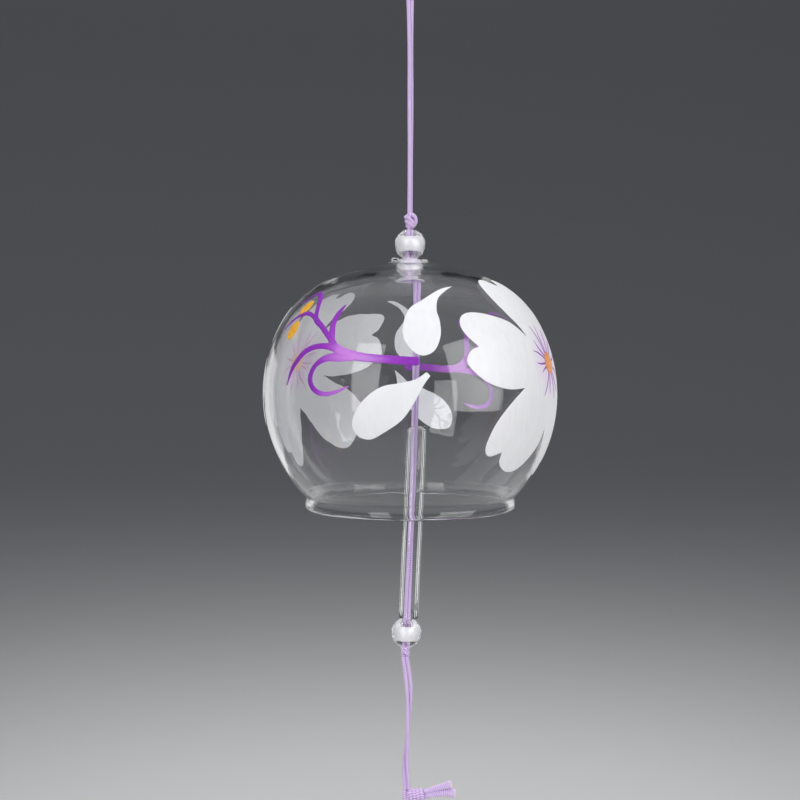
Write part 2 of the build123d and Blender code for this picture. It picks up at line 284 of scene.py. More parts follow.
# Cords. Their control points are the CAD's own, in the same order. Of a pair, the left strand has the
# sign -1 and the right one 1.
eye_route = [
    (-0.525, 0, -14), (-1.9, 0, -9.6), (-3.5, 0, -5.2), (-3.7, 0, -1.6), (-1.5, 0, 0.5), (1.6, 0, 0.5),
    (3.8, 0, -1.7), (3.4, 0, -5.3), (1.9, 0, -9.7), (0.525, 0, -14),
]
tail_routes = {
    -1: [
        (-0.525, 0, 0), (0.26, -0.09, -6), (0.67, -0.36, -11.6), (0.71, -0.54, -17.1),
        (0.7, -0.55, -22.7), (0.5, -0.4, -28.4), (0.71, -0.1, -32.6), (0.975, 0, -36.3),
    ],
    1: [
        (0.525, 0, 0), (1.64, 0.09, -6), (1.53, 0.36, -11.6), (0.99, 0.54, -17.1), (0.5, 0.55, -22.7),
        (-0.3, 0.4, -28.4), (-0.41, 0.1, -32.6), (-0.075, 0, -36.3),
    ],
}
upper_end_route = [(0, 0, 0.65), (2.6, 0, 1.8), (4.7, -0.1, 2.4), (6.6, -0.1, 2.95)]
lower_end_route = [(0, 0, -0.5), (2.6, 0, 0.35), (5.0, 0.1, 0.6), (7.6, 0.2, 0.35)]
strip_loop_route = [
    (0, -0.55, 0.4), (-0.3, -1.7, -3), (-0.7, -3, -6.3), (-1, -3.15, -9.3), (-1.2, -1.45, -11.6),
    (-1.2, 1.45, -11.6), (-1, 3.15, -9.3), (-0.7, 3, -6.3), (-0.3, 1.7, -3), (0, 0.55, 0.4),
]
# How far each strand of a free pair stands off the pair's middle
pair_side = 0.51
# The hanging strands run from the loop's knot down into the bell's. Each row is (height, x, turn of the pair
# in degrees), so that the picture sees one strand half behind the other.
hanging_pair = (
    (-18.2, 0, 10), (-24, 0.05, 45), (-33, 0.1, 62), (-45, 0.12, 52), (-57, 0.1, 64), (-67, 0.03, 70),
    (-75.7, 0, 66),
)
hanging_run_on = 2.6
# The clapper strands, which turn about each other by these degrees at these shares of their length
clapper_bend_x = -0.55
clapper_bend_drop = 42.0
clapper_end = (-3.17, -102.05)
clapper_run_on = 0.9
clapper_twists = (0, 10, 40, 65, 30, 0)
clapper_shares = (0.0, 0.25, 0.5, 0.68, 0.86, 1.0)
# The length over which the tail's strands follow the tie as it spins
tail_twist_length = 15.0
# How far the braid of a left strand is turned against the right one's, in radians
strand_turns = {"hanging": 0.4, "clapper": 0.5, "tail": 0.3}


def hanging_line(sign):
    points = []
    for z, x, degrees in hanging_pair:
        turn = math.radians(degrees)
        across, away = sign * pair_side * math.cos(turn), sign * pair_side * math.sin(turn)
        points.append(Vector((x + across, away, z)) * MM)
    below = points[-1] - UP * hanging_run_on * MM
    return np.vstack([route_line(points), np.linspace(points[-1], below, 8)[1:]])


def clapper_line(sign):
    bend = Vector((clapper_bend_x, 0, -clapper_bend_drop))
    end = Vector((clapper_end[0], 0, clapper_end[1]))
    places = []
    for share, twist in zip(clapper_shares, clapper_twists):
        drop = -share * clapper_end[1]
        if drop < clapper_bend_drop:
            centre = bend * (drop / clapper_bend_drop)
        else:
            centre = bend.lerp(end, (drop - clapper_bend_drop) / (-clapper_end[1] - clapper_bend_drop))
        turn = math.radians(twist)
        places.append(centre + Vector((math.cos(turn), math.sin(turn), 0)) * sign * pair_side)
    line = route_line(metres(places, clapper_pivot))
    above = Vector(line[0]) + UP * clapper_run_on * MM
    return np.vstack([np.linspace(above, line[0], 6)[:-1], line])


def tail_line(sign):
    line = route_line(metres(tail_routes[sign], tail_pivot))
    run_on = UP * cord_diameter / 2 * MM
    return np.vstack([Vector(line[0]) + run_on, line, Vector(line[-1]) - run_on])


def free_cord(name, line, node, turn=0.0, body=None):
    made = dressed(name, [cord_tube(line, turn=turn)], "cord", body, node)
    return made


def make_cords():
    """The free cords: the eye, then the strands over the bell, through the clapper and of the tail."""
    free_cord("cord_eye", route_line(metres(eye_route)), "hanging_loop", body="hanger")
    hanging_reach = UP * hanging_run_on * MM
    clapper_reach = UP * clapper_run_on * MM
    strands = (
        ("hanging", hanging_line, "hang_cord", "crown",
         tilt_pivot + hanging_reach, tilt_pivot - hanging_reach),
        ("clapper", clapper_line, "crown", "clapper",
         clapper_pivot + clapper_reach, clapper_pivot - clapper_reach),
        ("tail", tail_line, "tail", "strip_tie", tie_top + UP * tail_twist_length * MM, tie_top),
    )
    for sign, side in ((-1, "left"), (1, "right")):
        for kind, line_of, upper, lower, start, end in strands:
            turn = strand_turns[kind] * sign
            strand = free_cord(f"{kind}_cord_{side}", line_of(sign), f"{kind}_strand_{side}", turn)
            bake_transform(strand)


# Knots. Their bands are points in mm from the middle of the knot's foot, with Z up, at the
# knot's (width, height).
tied_knot_size = (3.8, 4.1)
tied_knot = (
    ((0.3, -0.35, 4.1), (1.25, -0.45, 3.5), (1.62, -0.15, 2.4), (1.35, -0.25, 1.15), (0.45, -0.35, 0.5)),
    ((-1.15, -0.1, 3.4), (-0.65, -1, 3.15), (0.25, -1.2, 2.2), (1, -0.8, 1.35), (1.15, 0.1, 0.9)),
    ((-1.05, 0.3, 2.35), (-0.9, -0.7, 2.1), (-0.15, -1.1, 1.4), (0.65, -0.75, 0.75), (0.85, 0.1, 0.5)),
    ((1.25, 0.4, 3.1), (0.4, 1.15, 3), (-0.55, 1.05, 2.2), (-1.1, 0.3, 1.6)),
    ((1.15, 0.5, 1.8), (0.3, 1.1, 1.7), (-0.6, 0.85, 1.1), (-0.9, 0, 0.7)),
    ((-0.9, 0.1, 3.35), (-0.4, -0.85, 3.65), (0.55, -0.8, 3.75), (1, 0, 3.55), (0.5, 0.85, 3.5),
     (-0.5, 0.85, 3.4), (-0.9, 0, 3.25)),
)
tied_knot_stub = ((-0.3, -0.5, 2.95), (-1.05, -0.6, 3.2), (-1.72, -0.5, 3.1))
crossed_knot_size = (3.0, 2.4)
crossed_knot = (
    ((-1, 0, 2.55), (-0.95, -0.55, 2.1), (-0.2, -0.95, 1.45), (0.6, -0.8, 0.7), (0.85, -0.1, 0.2)),
    ((0.75, -0.2, 2.5), (0.2, -0.8, 2.25), (-0.45, -0.75, 1.6), (-0.8, -0.35, 0.9), (-0.75, 0, 0.3)),
    ((0.9, 0.2, 2.3), (0.3, 0.9, 1.7), (-0.5, 0.85, 1), (-0.8, 0.1, 0.5)),
    ((-0.9, 0.3, 2.4), (-0.2, 0.95, 2.1), (0.6, 0.7, 1.2), (0.85, 0, 0.6)),
)
knot_cord_radius = 0.53
lower_knot_lift = 0.8
# The pair of strands inside a knot, the bead and the stopper, turned by neck_turn degrees at the neck
strand_side = 0.525
pair_points = 16
neck_turn = 52
inner_turns = 1.6
inner_steps = 40


def knot_parts(foot, up, height, width, bands, size):
    """Bands of cord tied round a pair of strands, made for one size and fitted to another."""
    side = Vector((1, 0, 0)) - up * up.x
    side.normalize()
    back = up.cross(side)
    wide, tall = width / size[0], height / size[1]
    parts = []
    for band in bands:
        line = [foot + (side * x * wide + back * y * wide + up * z * tall) * MM for x, y, z in band]
        parts.append(cord_tube(route_line(line), radius=knot_cord_radius))
    return parts


def strand_pair(top, bottom, turns=(0, 0)):
    """Two strands of cord between two points, turned about each other from one angle to another."""
    pair = []
    for sign in (-1, 1):
        line = []
        for share in np.linspace(0, 1, pair_points):
            turn = math.radians(turns[0] + (turns[1] - turns[0]) * share)
            side = Vector((math.cos(turn), math.sin(turn), 0))
            line.append(top.lerp(bottom, share) + side * sign * strand_side * MM)
        pair.append(cord_tube(line))
    return pair


def box_size(node):
    """A node's lowest height in metres, and its width and height in mm."""
    low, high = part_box(node)
    return low.z, (high.x - low.x) / MM, (high.z - low.z) / MM


def make_knots():
    foot_z, width, height = box_size("loop_knot")
    foot = UP * foot_z
    parts = strand_pair(UP * eye_route[0][2] * MM, foot)
    parts += knot_parts(foot, UP, height, width, tied_knot, tied_knot_size)
    dressed("loop_knot_wound", parts, "cord", "hang_cord", "loop_knot")

    foot_z, width, height = box_size("upper_knot")
    foot = UP * foot_z
    parts = strand_pair(foot + UP * height * 0.8 * MM, foot - UP * 0.2 * MM, (neck_turn, neck_turn))
    parts += knot_parts(foot, UP, height, width, tied_knot, tied_knot_size)
    parts.append(routed(tied_knot_stub, foot, scale=lambda t: 1 - 0.2 * t))
    dressed("upper_knot_wound", parts, "cord", "crown", "upper_knot")

    foot = tail_pivot + clapper_up * lower_knot_lift * MM
    width, height = crossed_knot_size
    parts = strand_pair(foot + clapper_up * (height + 0.2) * MM, tail_pivot - UP * cord_diameter / 2 * MM)
    parts += knot_parts(foot, clapper_up, height, width, crossed_knot, crossed_knot_size)
    dressed("lower_knot_wound", parts, "cord", "clapper", "lower_knot")

    low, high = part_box("crown_cord")
    crown = strand_pair(UP * high.z, UP * low.z, (neck_turn, 0))
    dressed("crown_cord_pair", crown, "cord", "crown", "crown_cord")

    low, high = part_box("inner_knot")
    middle = Vector(((low.x + high.x) / 2, 0, low.z))
    reach = ((high.x - low.x) / MM - cord_diameter) / 2 - 0.06
    turns = []
    for k in range(inner_steps + 1):
        angle = 2 * math.pi * inner_turns * k / inner_steps
        turns.append((reach * math.cos(angle), reach * math.sin(angle), 0.45 + 0.5 * k / inner_steps))
    parts = [cord_tube(metres(turns, middle))]
    parts += strand_pair(Vector((clapper_pivot.x - 0.3 * MM, 0, low.z + 0.5 * MM)), clapper_pivot)
    parts += strand_pair(Vector((0, 0, high.z + 0.3 * MM)), Vector((0.2 * MM, 0, low.z + 0.4 * MM)))
    dressed("inner_knot_wound", parts, "cord", "crown", "inner_knot")


# The tie over the paper strip: its windings round a core, and the two collars of cord at its left
tie_height = 3.1
tie_turns = 4
tie_pitch = 1.2
tie_start = 0.35
tie_steps = 34
tie_wind = (1.16, 1.2)
tie_core = ((0.2, 0.45, -0.1), (2.4, 0.405, -0.1), (4.9, 0.36, -0.1))
tie_collars = (
    ((-0.55, -0.4, 1.55), (-0.75, -0.75, 0.6), (-0.7, -0.8, -0.5), (-0.4, -0.6, -1.55)),
    ((0.45, -0.7, 1.5), (0.5, -1.0, 0.3), (0.2, -0.6, -1.5)),
)
# The cut ends: name, route, shares of the cord's radius along it, seed of its fibres
cut_ends = (
    ("cut_end_upper", upper_end_route, (1.25, 1.5, 1.7, 2.1), 3),
    ("cut_end_lower", lower_end_route, (1.25, 1.55, 1.8, 2.4), 5),
)
fray_fibres = 190
fibre_sides = 5


def fray(tip, aim, radius, seed):
    """Short fine fibres that stand out of a cut end."""
    draw = random.Random(seed)
    side = aim.orthogonal().normalized()
    back = aim.cross(side)
    faces = ring_faces(3, fibre_sides) + [(4, 3, 2, 1, 0), (10, 11, 12, 13, 14)]
    parts = []
    for _ in range(fray_fibres):
        angle = draw.uniform(0, 2 * math.pi)
        out = radius * math.sqrt(draw.uniform(0.02, 1.0))
        ray = side * math.cos(angle) + back * math.sin(angle)
        root = tip - aim * 0.45 * MM + ray * out * 0.85 * MM
        lean = draw.uniform(0.1, 0.55) * out / radius
        length = draw.uniform(0.75, 1.1)
        end = root + (aim + ray * lean).normalized() * length * MM
        middle = (root + end) / 2 + ray * draw.uniform(-0.05, 0.08) * MM
        thick = draw.uniform(0.045, 0.075)
        points = []
        for centre, share in zip((root, middle, end), (1.0, 0.85, 0.35)):
            points += ring(centre, aim, thick * share, 0, fibre_sides)
        # The fibres take the top of the rib ramp, so they have the cord's painted highlight colour.
        parts.append((points, faces, {"rib": [1.0] * len(points)}))
    return parts


def make_tie():
    """The wound tie with its core, its two frayed ends and the loop for the strip."""
    middle = tie_top - UP * tie_height / 2 * MM
    line = []
    steps = tie_steps * tie_turns
    for k in range(steps + 1):
        angle = 2 * math.pi * (tie_turns + 0.35) * k / steps - 1.2
        x = tie_start + tie_pitch * (tie_turns - 0.25) * k / steps
        swell = 0.07 * math.sin(3.1 * k / steps * math.pi)
        line.append((x, (tie_wind[0] + swell) * math.cos(angle), (tie_wind[1] + swell) * math.sin(angle)))
    parts = [cord_tube(metres(line, middle), radius=0.56)]
    for sign in (-1, 1):
        core = [(x, sign * y, sign * z) for x, y, z in tie_core]
        parts.append(cord_tube(metres(core, middle), radius=0.6))
    for collar in tie_collars:
        for sign in (1, -1):
            parts.append(routed([(x, sign * y, z) for x, y, z in collar], middle, radius=0.52))
    dressed("strip_tie_wound", parts, "cord", "strip_tie", "strip_knot")

    tie_end = Vector((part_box("strip_knot")[1].x, middle.y, middle.z))
    for name, route, shares, seed in cut_ends:
        points = metres(route, tie_end)
        points[0] = points[0] - Vector((0.8 * MM, 0, 0))
        line = route_line(points)
        parts = [
            cord_tube(line, ends=(True, False), scale=lambda t: np.interp(t, (0, 0.35, 0.7, 1.0), shares)),
        ]
        aim = Vector(line[-1] - line[-3]).normalized()
        parts += fray(Vector(line[-1]), aim, shares[-1] * cord_diameter / 2, seed)
        dressed(f"{name}_frayed", parts, "cord", "strip_tie", name)
    loop = routed(strip_loop_route, tie_top - UP * tie_height * MM)
    dressed("strip_loop_cord", [loop], "cord", "strip_tie", "strip_loop")


# The bell's outline, as in the CAD: heights are over its widest ring
bell_radius = 40.0
bell_wall = 1.3
neck_share = 0.72
shoulder_angle = 30.0
shoulder_end = (20.5, 31.9)
cap_end = (5.1, 35.8)
crown_ring = [
    (5.02, 36), (4.93, 36.2), (4.8, 36.38), (4.62, 36.52), (4.3, 36.6), (4.1, 36.59), (3.9, 36.52),
    (3.72, 36.4), (3.58, 36.22), (3.5, 36.08), (3.5, 35.6), (3.5, 34.2), (3.52, 33.8), (3.7, 33.6),
]
inner_shoulder_end = (19.983, 30.42)
inner_cap_end = (5.5, 34.32)
inner_crest = [(5.1, 34.36), (4.8, 34.25), (4.6, 34.0), (4.5, 33.75), (4.3, 33.6), (4.0, 33.56)]
lip_outer = 29.0
lip_thickness = 1.8
lip_level = -30.2
inner_neck = 27.4
bell_segments = 288
outline_step = 0.8


def arc_points(centre, radius, start, end):
    """Points along an arc, angles in degrees."""
    count = max(3, int(abs(math.radians(end - start)) * abs(radius) / outline_step) + 1)
    return spokes(centre, radius, np.radians(np.linspace(start, end, count)))


def tangent_arc(start, aim, end):
    """Points along the arc that leaves start along aim and reaches end, and its direction there."""
    normal = np.array([-aim[1], aim[0]])
    chord = np.subtract(end, start)
    radius = chord @ chord / (2 * (chord @ normal))
    centre = np.add(start, normal * radius)
    first = math.atan2(*np.subtract(start, centre)[::-1])
    last = math.atan2(*np.subtract(end, centre)[::-1])
    turn = (last - first + math.pi) % (2 * math.pi) - math.pi
    points = arc_points(centre, abs(radius), math.degrees(first), math.degrees(first + turn))
    spoke = np.subtract(end, centre)
    leave = np.array([-spoke[1], spoke[0]]) * math.copysign(1, turn)
    return points, leave / np.linalg.norm(leave)


def wall_line(radius, neck_angle, shoulder, cap):
    """One face of the glass from its neck up over its shoulder to its cap."""
    body = arc_points((0, 0), radius, neck_angle, shoulder_angle)
    turn = math.radians(shoulder_angle)
    over, aim = tangent_arc(body[-1], np.array([-math.sin(turn), math.cos(turn)]), shoulder)
    top, _ = tangent_arc(shoulder, aim, cap)
    return body + over[1:] + top[1:]


def lip_line():
    """The rolled lip, from the inside face down and up to the outside one."""
    radius = lip_thickness / 2
    lip = arc_points((lip_outer - radius, lip_level), radius, 180, 360)
    return [(inner_neck - 0.1, lip_level + 1.3)] + lip + [(lip_outer - 0.1, lip_level + 1.2)]


inner_radius = bell_radius - bell_wall
outside_line = wall_line(bell_radius, -math.degrees(math.acos(neck_share)), shoulder_end, cap_end)
inside_line = wall_line(
    inner_radius, -math.degrees(math.acos(inner_neck / inner_radius)), inner_shoulder_end, inner_cap_end,
) + inner_crest
outside_table = np.array(outside_line)
outside_along = np.concatenate([[0], np.cumsum(np.linalg.norm(np.diff(outside_table, axis=0), axis=1))])

# Hand-blown glass: how deep and wide its waves are, and how uneven its wall
wave_depth = 0.13
wave_width = 26
ripple_depth = 0.006
wall_unevenness = 0.03
# Lumps of glass left round the crown's hole: (angle in degrees from +X, spread in degrees, height, reach)
crown_lumps = ((180, 75, 0.78, 0.25), (0, 55, 0.4, -0.05), (95, 50, 0.15, 0.1), (265, 45, 0.15, 0.0))
crown_lift = 0.08
crown_foot_radius = 7.0
crown_flank = 2.6


def kept_share(value):
    return max(0.0, min(1.0, value))


def eased(value):
    """A share kept between 0 and 1 that starts and ends gently."""
    share = kept_share(value)
    return share * share * (3 - 2 * share)


def wobble(angle, radius, height):
    """How far the hand-blown glass stands off its true outline, in mm, at an angle in radians."""
    spot = Vector((math.cos(angle) * radius, math.sin(angle) * radius, height * 1.4)) / wave_width
    ripple = ripple_depth * kept_share((height - 24) / 9) * math.sin(radius * 1.1 + 2.6 * math.sin(angle))
    return wave_depth * noise.noise(spot) + ripple


def crown_lump(angle):
    """(height, reach) in mm that the uneven crown ring gains at an angle."""
    rise, reach = crown_lift, 0.0
    for middle, spread, high, far in crown_lumps:
        share = eased(1 - abs((math.degrees(angle) - middle + 180) % 360 - 180) / spread)
        rise += high * share
        reach += far * share
    return rise, reach


def glass_point(angle, radius, height, zone):
    """A point of the glass in metres. zone is outside, ring, inside or collar."""
    if zone in ("outside", "ring") and height > 33 and radius < crown_foot_radius:
        rise, reach = crown_lump(angle)
        share = eased((crown_foot_radius - radius) / crown_flank) * eased((height - 34.0) / 1.6)
        height += rise * share
        radius += reach * share * eased((radius - 3.5) / 0.9)
    if zone in ("outside", "inside"):
        fade = kept_share((radius - 6) / 4) * kept_share((height + 28.5) / 6)
        push = wobble(angle, radius, height) * fade
        if zone == "inside":
            spot = Vector((math.cos(angle), math.sin(angle), height / 20)) * 1.4
            push += wall_unevenness * fade * noise.noise(spot)
        length = math.hypot(radius, height)
        radius += push * radius / length
        height += push * height / length
    return Vector((radius * math.cos(angle), radius * math.sin(angle), height)) * MM + UP * equator_z


def make_bell():
    zones = (
        ("outside", outside_line), ("ring", crown_ring),
        ("inside", inside_line[::-1]), ("collar", lip_line()),
    )
    rows = [(r, z, zone) for zone, line in zones for r, z in line]
    turns = [2 * math.pi * j / bell_segments for j in range(bell_segments)]
    points = [glass_point(turn, *row) for row in rows for turn in turns]
    part = (points, ring_faces(len(rows), bell_segments, closed=True), {})
    dressed("glass_body", [part], "glass", "bell", "glass_bell")


# Painted blossom. Places are (azimuth in degrees, height over the widest ring in mm), azimuth 0 facing
# the viewer and growing to the right. It is painted twice by hand, half a turn apart, so the copies
# differ a little. An outline has one or more smooth sides, and each ends where the next one starts.
flower_radius = 3.0
flower_centres = {"front": (66.8, 8.6), "back": (60.3, 9.1)}
far_petals = (
    ([(76, 3.5), (84.5, -3.5), (93.5, -8), (101.5, -9), (106, -6.5)],
     [(105, -2), (109.5, 0), (110, 4), (104, 8.5), (94, 11)],
     [(82, 11), (72, 12.5), (65, 8.5), (70, 5)]),
    ([(80, 8), (90, 9.5), (101, 13.5), (107.5, 18.5), (107, 22.5)],
     [(100.5, 23), (99.5, 26), (93.5, 26.9), (86, 24.5), (79, 19.5)],
     [(74, 14.5), (67, 13), (64, 7.5), (71, 5)]),
)
# How far the back copy's far petals, and its twigs and buds, lie from the front one's
far_petal_shift = {"front": (0, 0), "back": (-6.5, 0.6)}
twig_shift = {"front": (0, 0), "back": (0.6, -2.2)}
near_petals = {
    "front": (
        ([(61.5, -0.5), (61.8, -7.5), (63.2, -13.5), (66, -18.5), (70.5, -21), (74.5, -20.2)],
         [(76.6, -16), (80.5, -18.2), (84.6, -16.2), (87, -10.5), (86, -4)],
         [(80.5, 2), (76, 8), (68, 10), (62.5, 6.5)]),
        ([(57, 11.5), (50.2, 17.4), (45, 20.8), (41, 24.2), (39.8, 27.2), (42.2, 29.3), (48.5, 29.9)],
         [(57, 28.4), (61, 30.2), (69.5, 29.6), (75.5, 25.5), (78, 19)],
         [(77, 13), (73, 7.5), (66, 5.5), (59, 7.5)]),
        ([(50.5, 4.5), (42, 0.8), (35, -3.4), (30.6, -7.5), (28.4, -12.2), (30.6, -14.4)],
         [(36.5, -13.6), (36.5, -16), (39, -17.8), (43.7, -18.9), (49.9, -18.1), (57.9, -13.6),
          (62.6, -7.2)],
         [(65.5, -3.5), (71, 2), (70, 8), (63, 9.5), (55, 8)]),
        ([(52, 15.5), (43.9, 18.8), (33.1, 20.5), (25.4, 20.9), (20.7, 20), (19.3, 17.8), (21.2, 15.2)],
         [(25.5, 12.5), (22, 11.4), (20.1, 9.2), (21.8, 6.9), (28, 3.7), (36.5, 2.1), (45.1, 2.3)],
         [(54, 3.4), (63, 5.6), (70, 9), (66, 13.5)]),
    ),
    "back": (
        ([(55.9, -1.5), (57.3, -9.7), (59.6, -14.7), (64.9, -19.5), (70.5, -21.5), (74.2, -20.6)],
         [(74.8, -17.3), (79, -17), (82, -12.5), (83.2, -7.5), (81.5, -2)],
         [(75, 2.5), (70, 8), (62, 10.5), (56.5, 7)]),
        ([(52.5, 14), (47.5, 19.1), (44.7, 21.7), (42.7, 23.9), (39.7, 26.8), (40.6, 29.2), (45.1, 30.7),
          (51, 31)],
         [(56.2, 28.8), (61.5, 30.6), (68.5, 29.9), (72.3, 26.5), (72.5, 20)],
         [(70.5, 13.5), (66.5, 8), (59.8, 6.2), (53.8, 8.5)]),
        ([(46, 5.6), (40, 4.3), (33.8, 2.3), (29, 0.8), (24.4, -1.9), (21.6, -4.6), (21.8, -7.4)],
         [(25.4, -9.2), (25.3, -12), (27.3, -14.9), (31.2, -17.1), (36.1, -17.3), (42.1, -15.5),
          (47.5, -11.9), (52.1, -7.9)],
         [(56.6, -4.5), (63.5, 2), (63, 8), (56.5, 10.2), (49, 8.8)]),
        ([(50.5, 17.5), (43.5, 20.6), (37.7, 22.7), (30.3, 23.9), (23.2, 24.3), (17.2, 24.2), (14.2, 23.4),
          (13.8, 22), (15.8, 19.3)],
         [(18.8, 17.5), (15.6, 16.5), (13.4, 14.3), (13.1, 10.8), (17.2, 8.4), (22.9, 6.3), (29.2, 5.2),
          (36.4, 4.6)],
         [(44, 4.9), (55, 6.6), (62.5, 9.5), (58.5, 14.5)]),
    ),
}
fallen_petals = {
    "front": (
        ([(21.4, 27.6), (16.2, 27.1), (11.2, 26), (4.8, 23.9), (-0.8, 21.7), (-3.2, 17.8), (-2.7, 14.2),
          (1, 11.1), (4.6, 10.3), (8.6, 11.7), (11, 15.2), (11.2, 18.8), (10.5, 21.4), (12, 24.3),
          (16.5, 26.3)],),
        ([(5.2, 6.3), (1.3, 4.6), (-4, 3.7), (-10, 2.9), (-15.4, 0.5), (-19.6, -3), (-21.2, -6.5),
          (-19.3, -9.1), (-14.8, -9.9), (-9.5, -8.1), (-3.3, -5.1), (0.9, -1), (4, 3)],
         [(6.5, 5.4), (5.9, 5.9)]),
    ),
    "back": (
        ([(15.3, 28.9), (10.8, 28.9), (6.1, 28), (2, 26.7), (-2.5, 24.5), (-6, 21.6), (-7.8, 18),
          (-7.4, 14.2), (-4.6, 11.2), (-0.6, 9.9), (3.4, 10.3), (6.2, 12.4), (7.3, 15.4), (6.7, 18.2),
          (4.4, 20.4), (2.6, 22.3), (3.8, 25), (7.7, 27.1)],),
        ([(6.2, 6.7), (3.4, 5), (-0.5, 2.5), (-6.4, 0.9), (-12.7, -1.1), (-17.6, -3.9), (-20.1, -7.4),
          (-19.6, -10.9), (-16.6, -11.9), (-11.5, -11.7), (-5.2, -9), (-0.6, -5.6), (2.6, -1.8),
          (4.8, 2)],),
    ),
}
# Brush strokes: (azimuth, height, width in mm, lightness of the paint)
stem_strokes = {
    "front": (
        ((2.9, 8.9, 2.2, 0.12), (-3, 9.1, 2.1, 0.2), (-11.2, 9.5, 2, 0.4), (-17.5, 9.9, 2.1, 0.62),
         (-23.4, 10.6, 2.5, 0.85), (-27.4, 11.6, 2.4, 0.8), (-30.6, 13.2, 2, 0.5),
         (-31.8, 15.7, 1.85, 0.35), (-32.5, 18.4, 1.85, 0.3), (-31.5, 20.8, 1.7, 0.2),
         (-29.6, 22.9, 0.5, 0.1)),
        ((-20.6, 9.8, 1.5, 0.8), (-26, 9.9, 2.3, 0.75), (-32.4, 9.6, 1.8, 0.45), (-36.8, 7.8, 1.35, 0.15),
         (-38.6, 4.9, 1.5, 0.1), (-37, 2.3, 1.45, 0.15), (-32.8, 1, 1.2, 0.5), (-27.6, 1.4, 0.9, 0.6),
         (-22.2, 2.9, 0.3, 0.7)),
    ),
    "back": (
        ((2, 7.6, 2.2, 0.12), (-5.2, 7.5, 2.2, 0.2), (-11.6, 7.2, 2.1, 0.35), (-16.9, 7, 2, 0.6),
         (-22.6, 7.3, 2.4, 0.85), (-26.3, 8.8, 2.4, 0.8), (-28.1, 11.2, 2.1, 0.5),
         (-28.7, 14.2, 1.8, 0.35), (-29.2, 17.2, 1.7, 0.3), (-28.2, 20, 1.4, 0.2),
         (-26.6, 21.9, 0.5, 0.1)),
        ((-20, 6.9, 1.5, 0.8), (-26.6, 6.6, 2.1, 0.75), (-33.4, 5.5, 1.7, 0.4), (-38.1, 2.4, 1.35, 0.15),
         (-39.7, -1.1, 1.4, 0.1), (-38.2, -3.6, 1.4, 0.15), (-34, -4.9, 1.2, 0.45),
         (-29.4, -4.7, 0.9, 0.6), (-25.2, -3.7, 0.3, 0.7)),
    ),
}
twig_strokes = (
    ((-29.2, 12.8, 1.7, 0.45), (-33.4, 15.2, 1.5, 0.25), (-38, 17.6, 1.5, 0.2), (-42.8, 19.5, 1.7, 0.15),
     (-44.9, 22, 1.6, 0.15), (-47.6, 24.8, 1.8, 0.2), (-52.2, 26.4, 1.5, 0.15), (-57.2, 25.8, 0.9, 0.1),
     (-62.5, 24, 0.4, 0.1)),
    ((-42, 19.2, 1.2, 0.15), (-46.3, 20.5, 1.15, 0.15), (-50.6, 21.1, 1.35, 0.15),
     (-55.8, 20.6, 1.1, 0.15), (-60.5, 19.1, 0.9, 0.12), (-64.6, 17, 0.4, 0.1)),
    ((-28.4, 12, 1.9, 0.6), (-33.6, 12.6, 1.6, 0.3), (-38.6, 12.4, 1.5, 0.2), (-43.4, 11.1, 1.6, 0.15),
     (-47.6, 8.2, 1.5, 0.12), (-50, 5.2, 0.9, 0.1), (-50.9, 3, 0.3, 0.1)),
)
# Buds: (azimuth, height, long half, short half, tilt in degrees)
buds = ((-54.4, 22.6, 2.9, 1.95, 40), (-55.9, 16.9, 2.75, 2.15, 62))
# Stamens round the flower's heart: (direction in degrees, length in mm), and their (width, lightness) along
stamens = (
    (14, 8.4), (44, 8.6), (78, 9.2), (104, 10.4), (122, 11.8), (140, 9.2), (160, 9.4), (180, 8.2),
    (204, 6.2), (236, 10.2), (258, 8.2), (281, 9.6), (306, 9.4), (336, 8.8),
)
stamen_widths = ((0.5, 0.2), (0.44, 0.22), (0.14, 0.35))
# Heights of the paint's layers over the glass
show_through_layer = (0.012, 0.02)
petal_layer = (0.03, 0.1)
petal_step = 0.006
stamen_layer = (0.135, 0.185)
heart_layer = (0.165, 0.255)
branch_layer = (0.03, 0.13)
stroke_step = 0.012
# Steps along an outline and a stroke, rows of points inside an outline's edge, and how soon a film is full
rim_step = 0.45
line_step = 0.35
edge_rows = (0.1, 0.28)
film_grid = 0.85
film_edge = 0.22
blob_points = 14


def outline_at(along):
    """(radius, height) on the outside at a distance up its outline."""
    return tuple(float(np.interp(along, outside_along, outside_table[:, k])) for k in (0, 1))


def flat_place(azimuth, height):
    """A place on the bell in a flat map in mm, true to scale near the equator."""
    along = float(np.interp(height, outside_table[:, 1], outside_along))
    return Vector((math.radians(azimuth) * bell_radius, along))


def on_glass(place, lift, side_name):
    """The point in metres that lies over a place of the flat map, a lift in mm off the glass."""
    angle = place[0] / bell_radius - math.pi / 2 + (math.pi if side_name == "back" else 0)
    here = glass_point(angle, *outline_at(place[1]), "outside")
    above, below = outline_at(place[1] + 0.2), outline_at(place[1] - 0.2)
    slope = Vector((above[1] - below[1], -(above[0] - below[0]))).normalized()
    return here + Vector((slope.x * math.cos(angle), slope.x * math.sin(angle), slope.y)) * lift * MM


def smooth_line(points, step):
    """Points along a smooth curve through the given ones, each a tuple of numbers, a step apart."""
    points = [np.array(p, float) for p in points]
    padded = [2 * points[0] - points[1]] + points + [2 * points[-1] - points[-2]]
    made = []
    for a, b, c, d in zip(padded, padded[1:], padded[2:], padded[3:]):
        count = max(2, int(np.linalg.norm((c - b)[:2]) / step))
        for t in np.arange(count) / count:
            bend = (2 * a - 5 * b + 4 * c - d) * t**2 + (3 * b - a - 3 * c + d) * t**3
            made.append(0.5 * (2 * b + (c - a) * t + bend))
    made.append(points[-1])
    return made


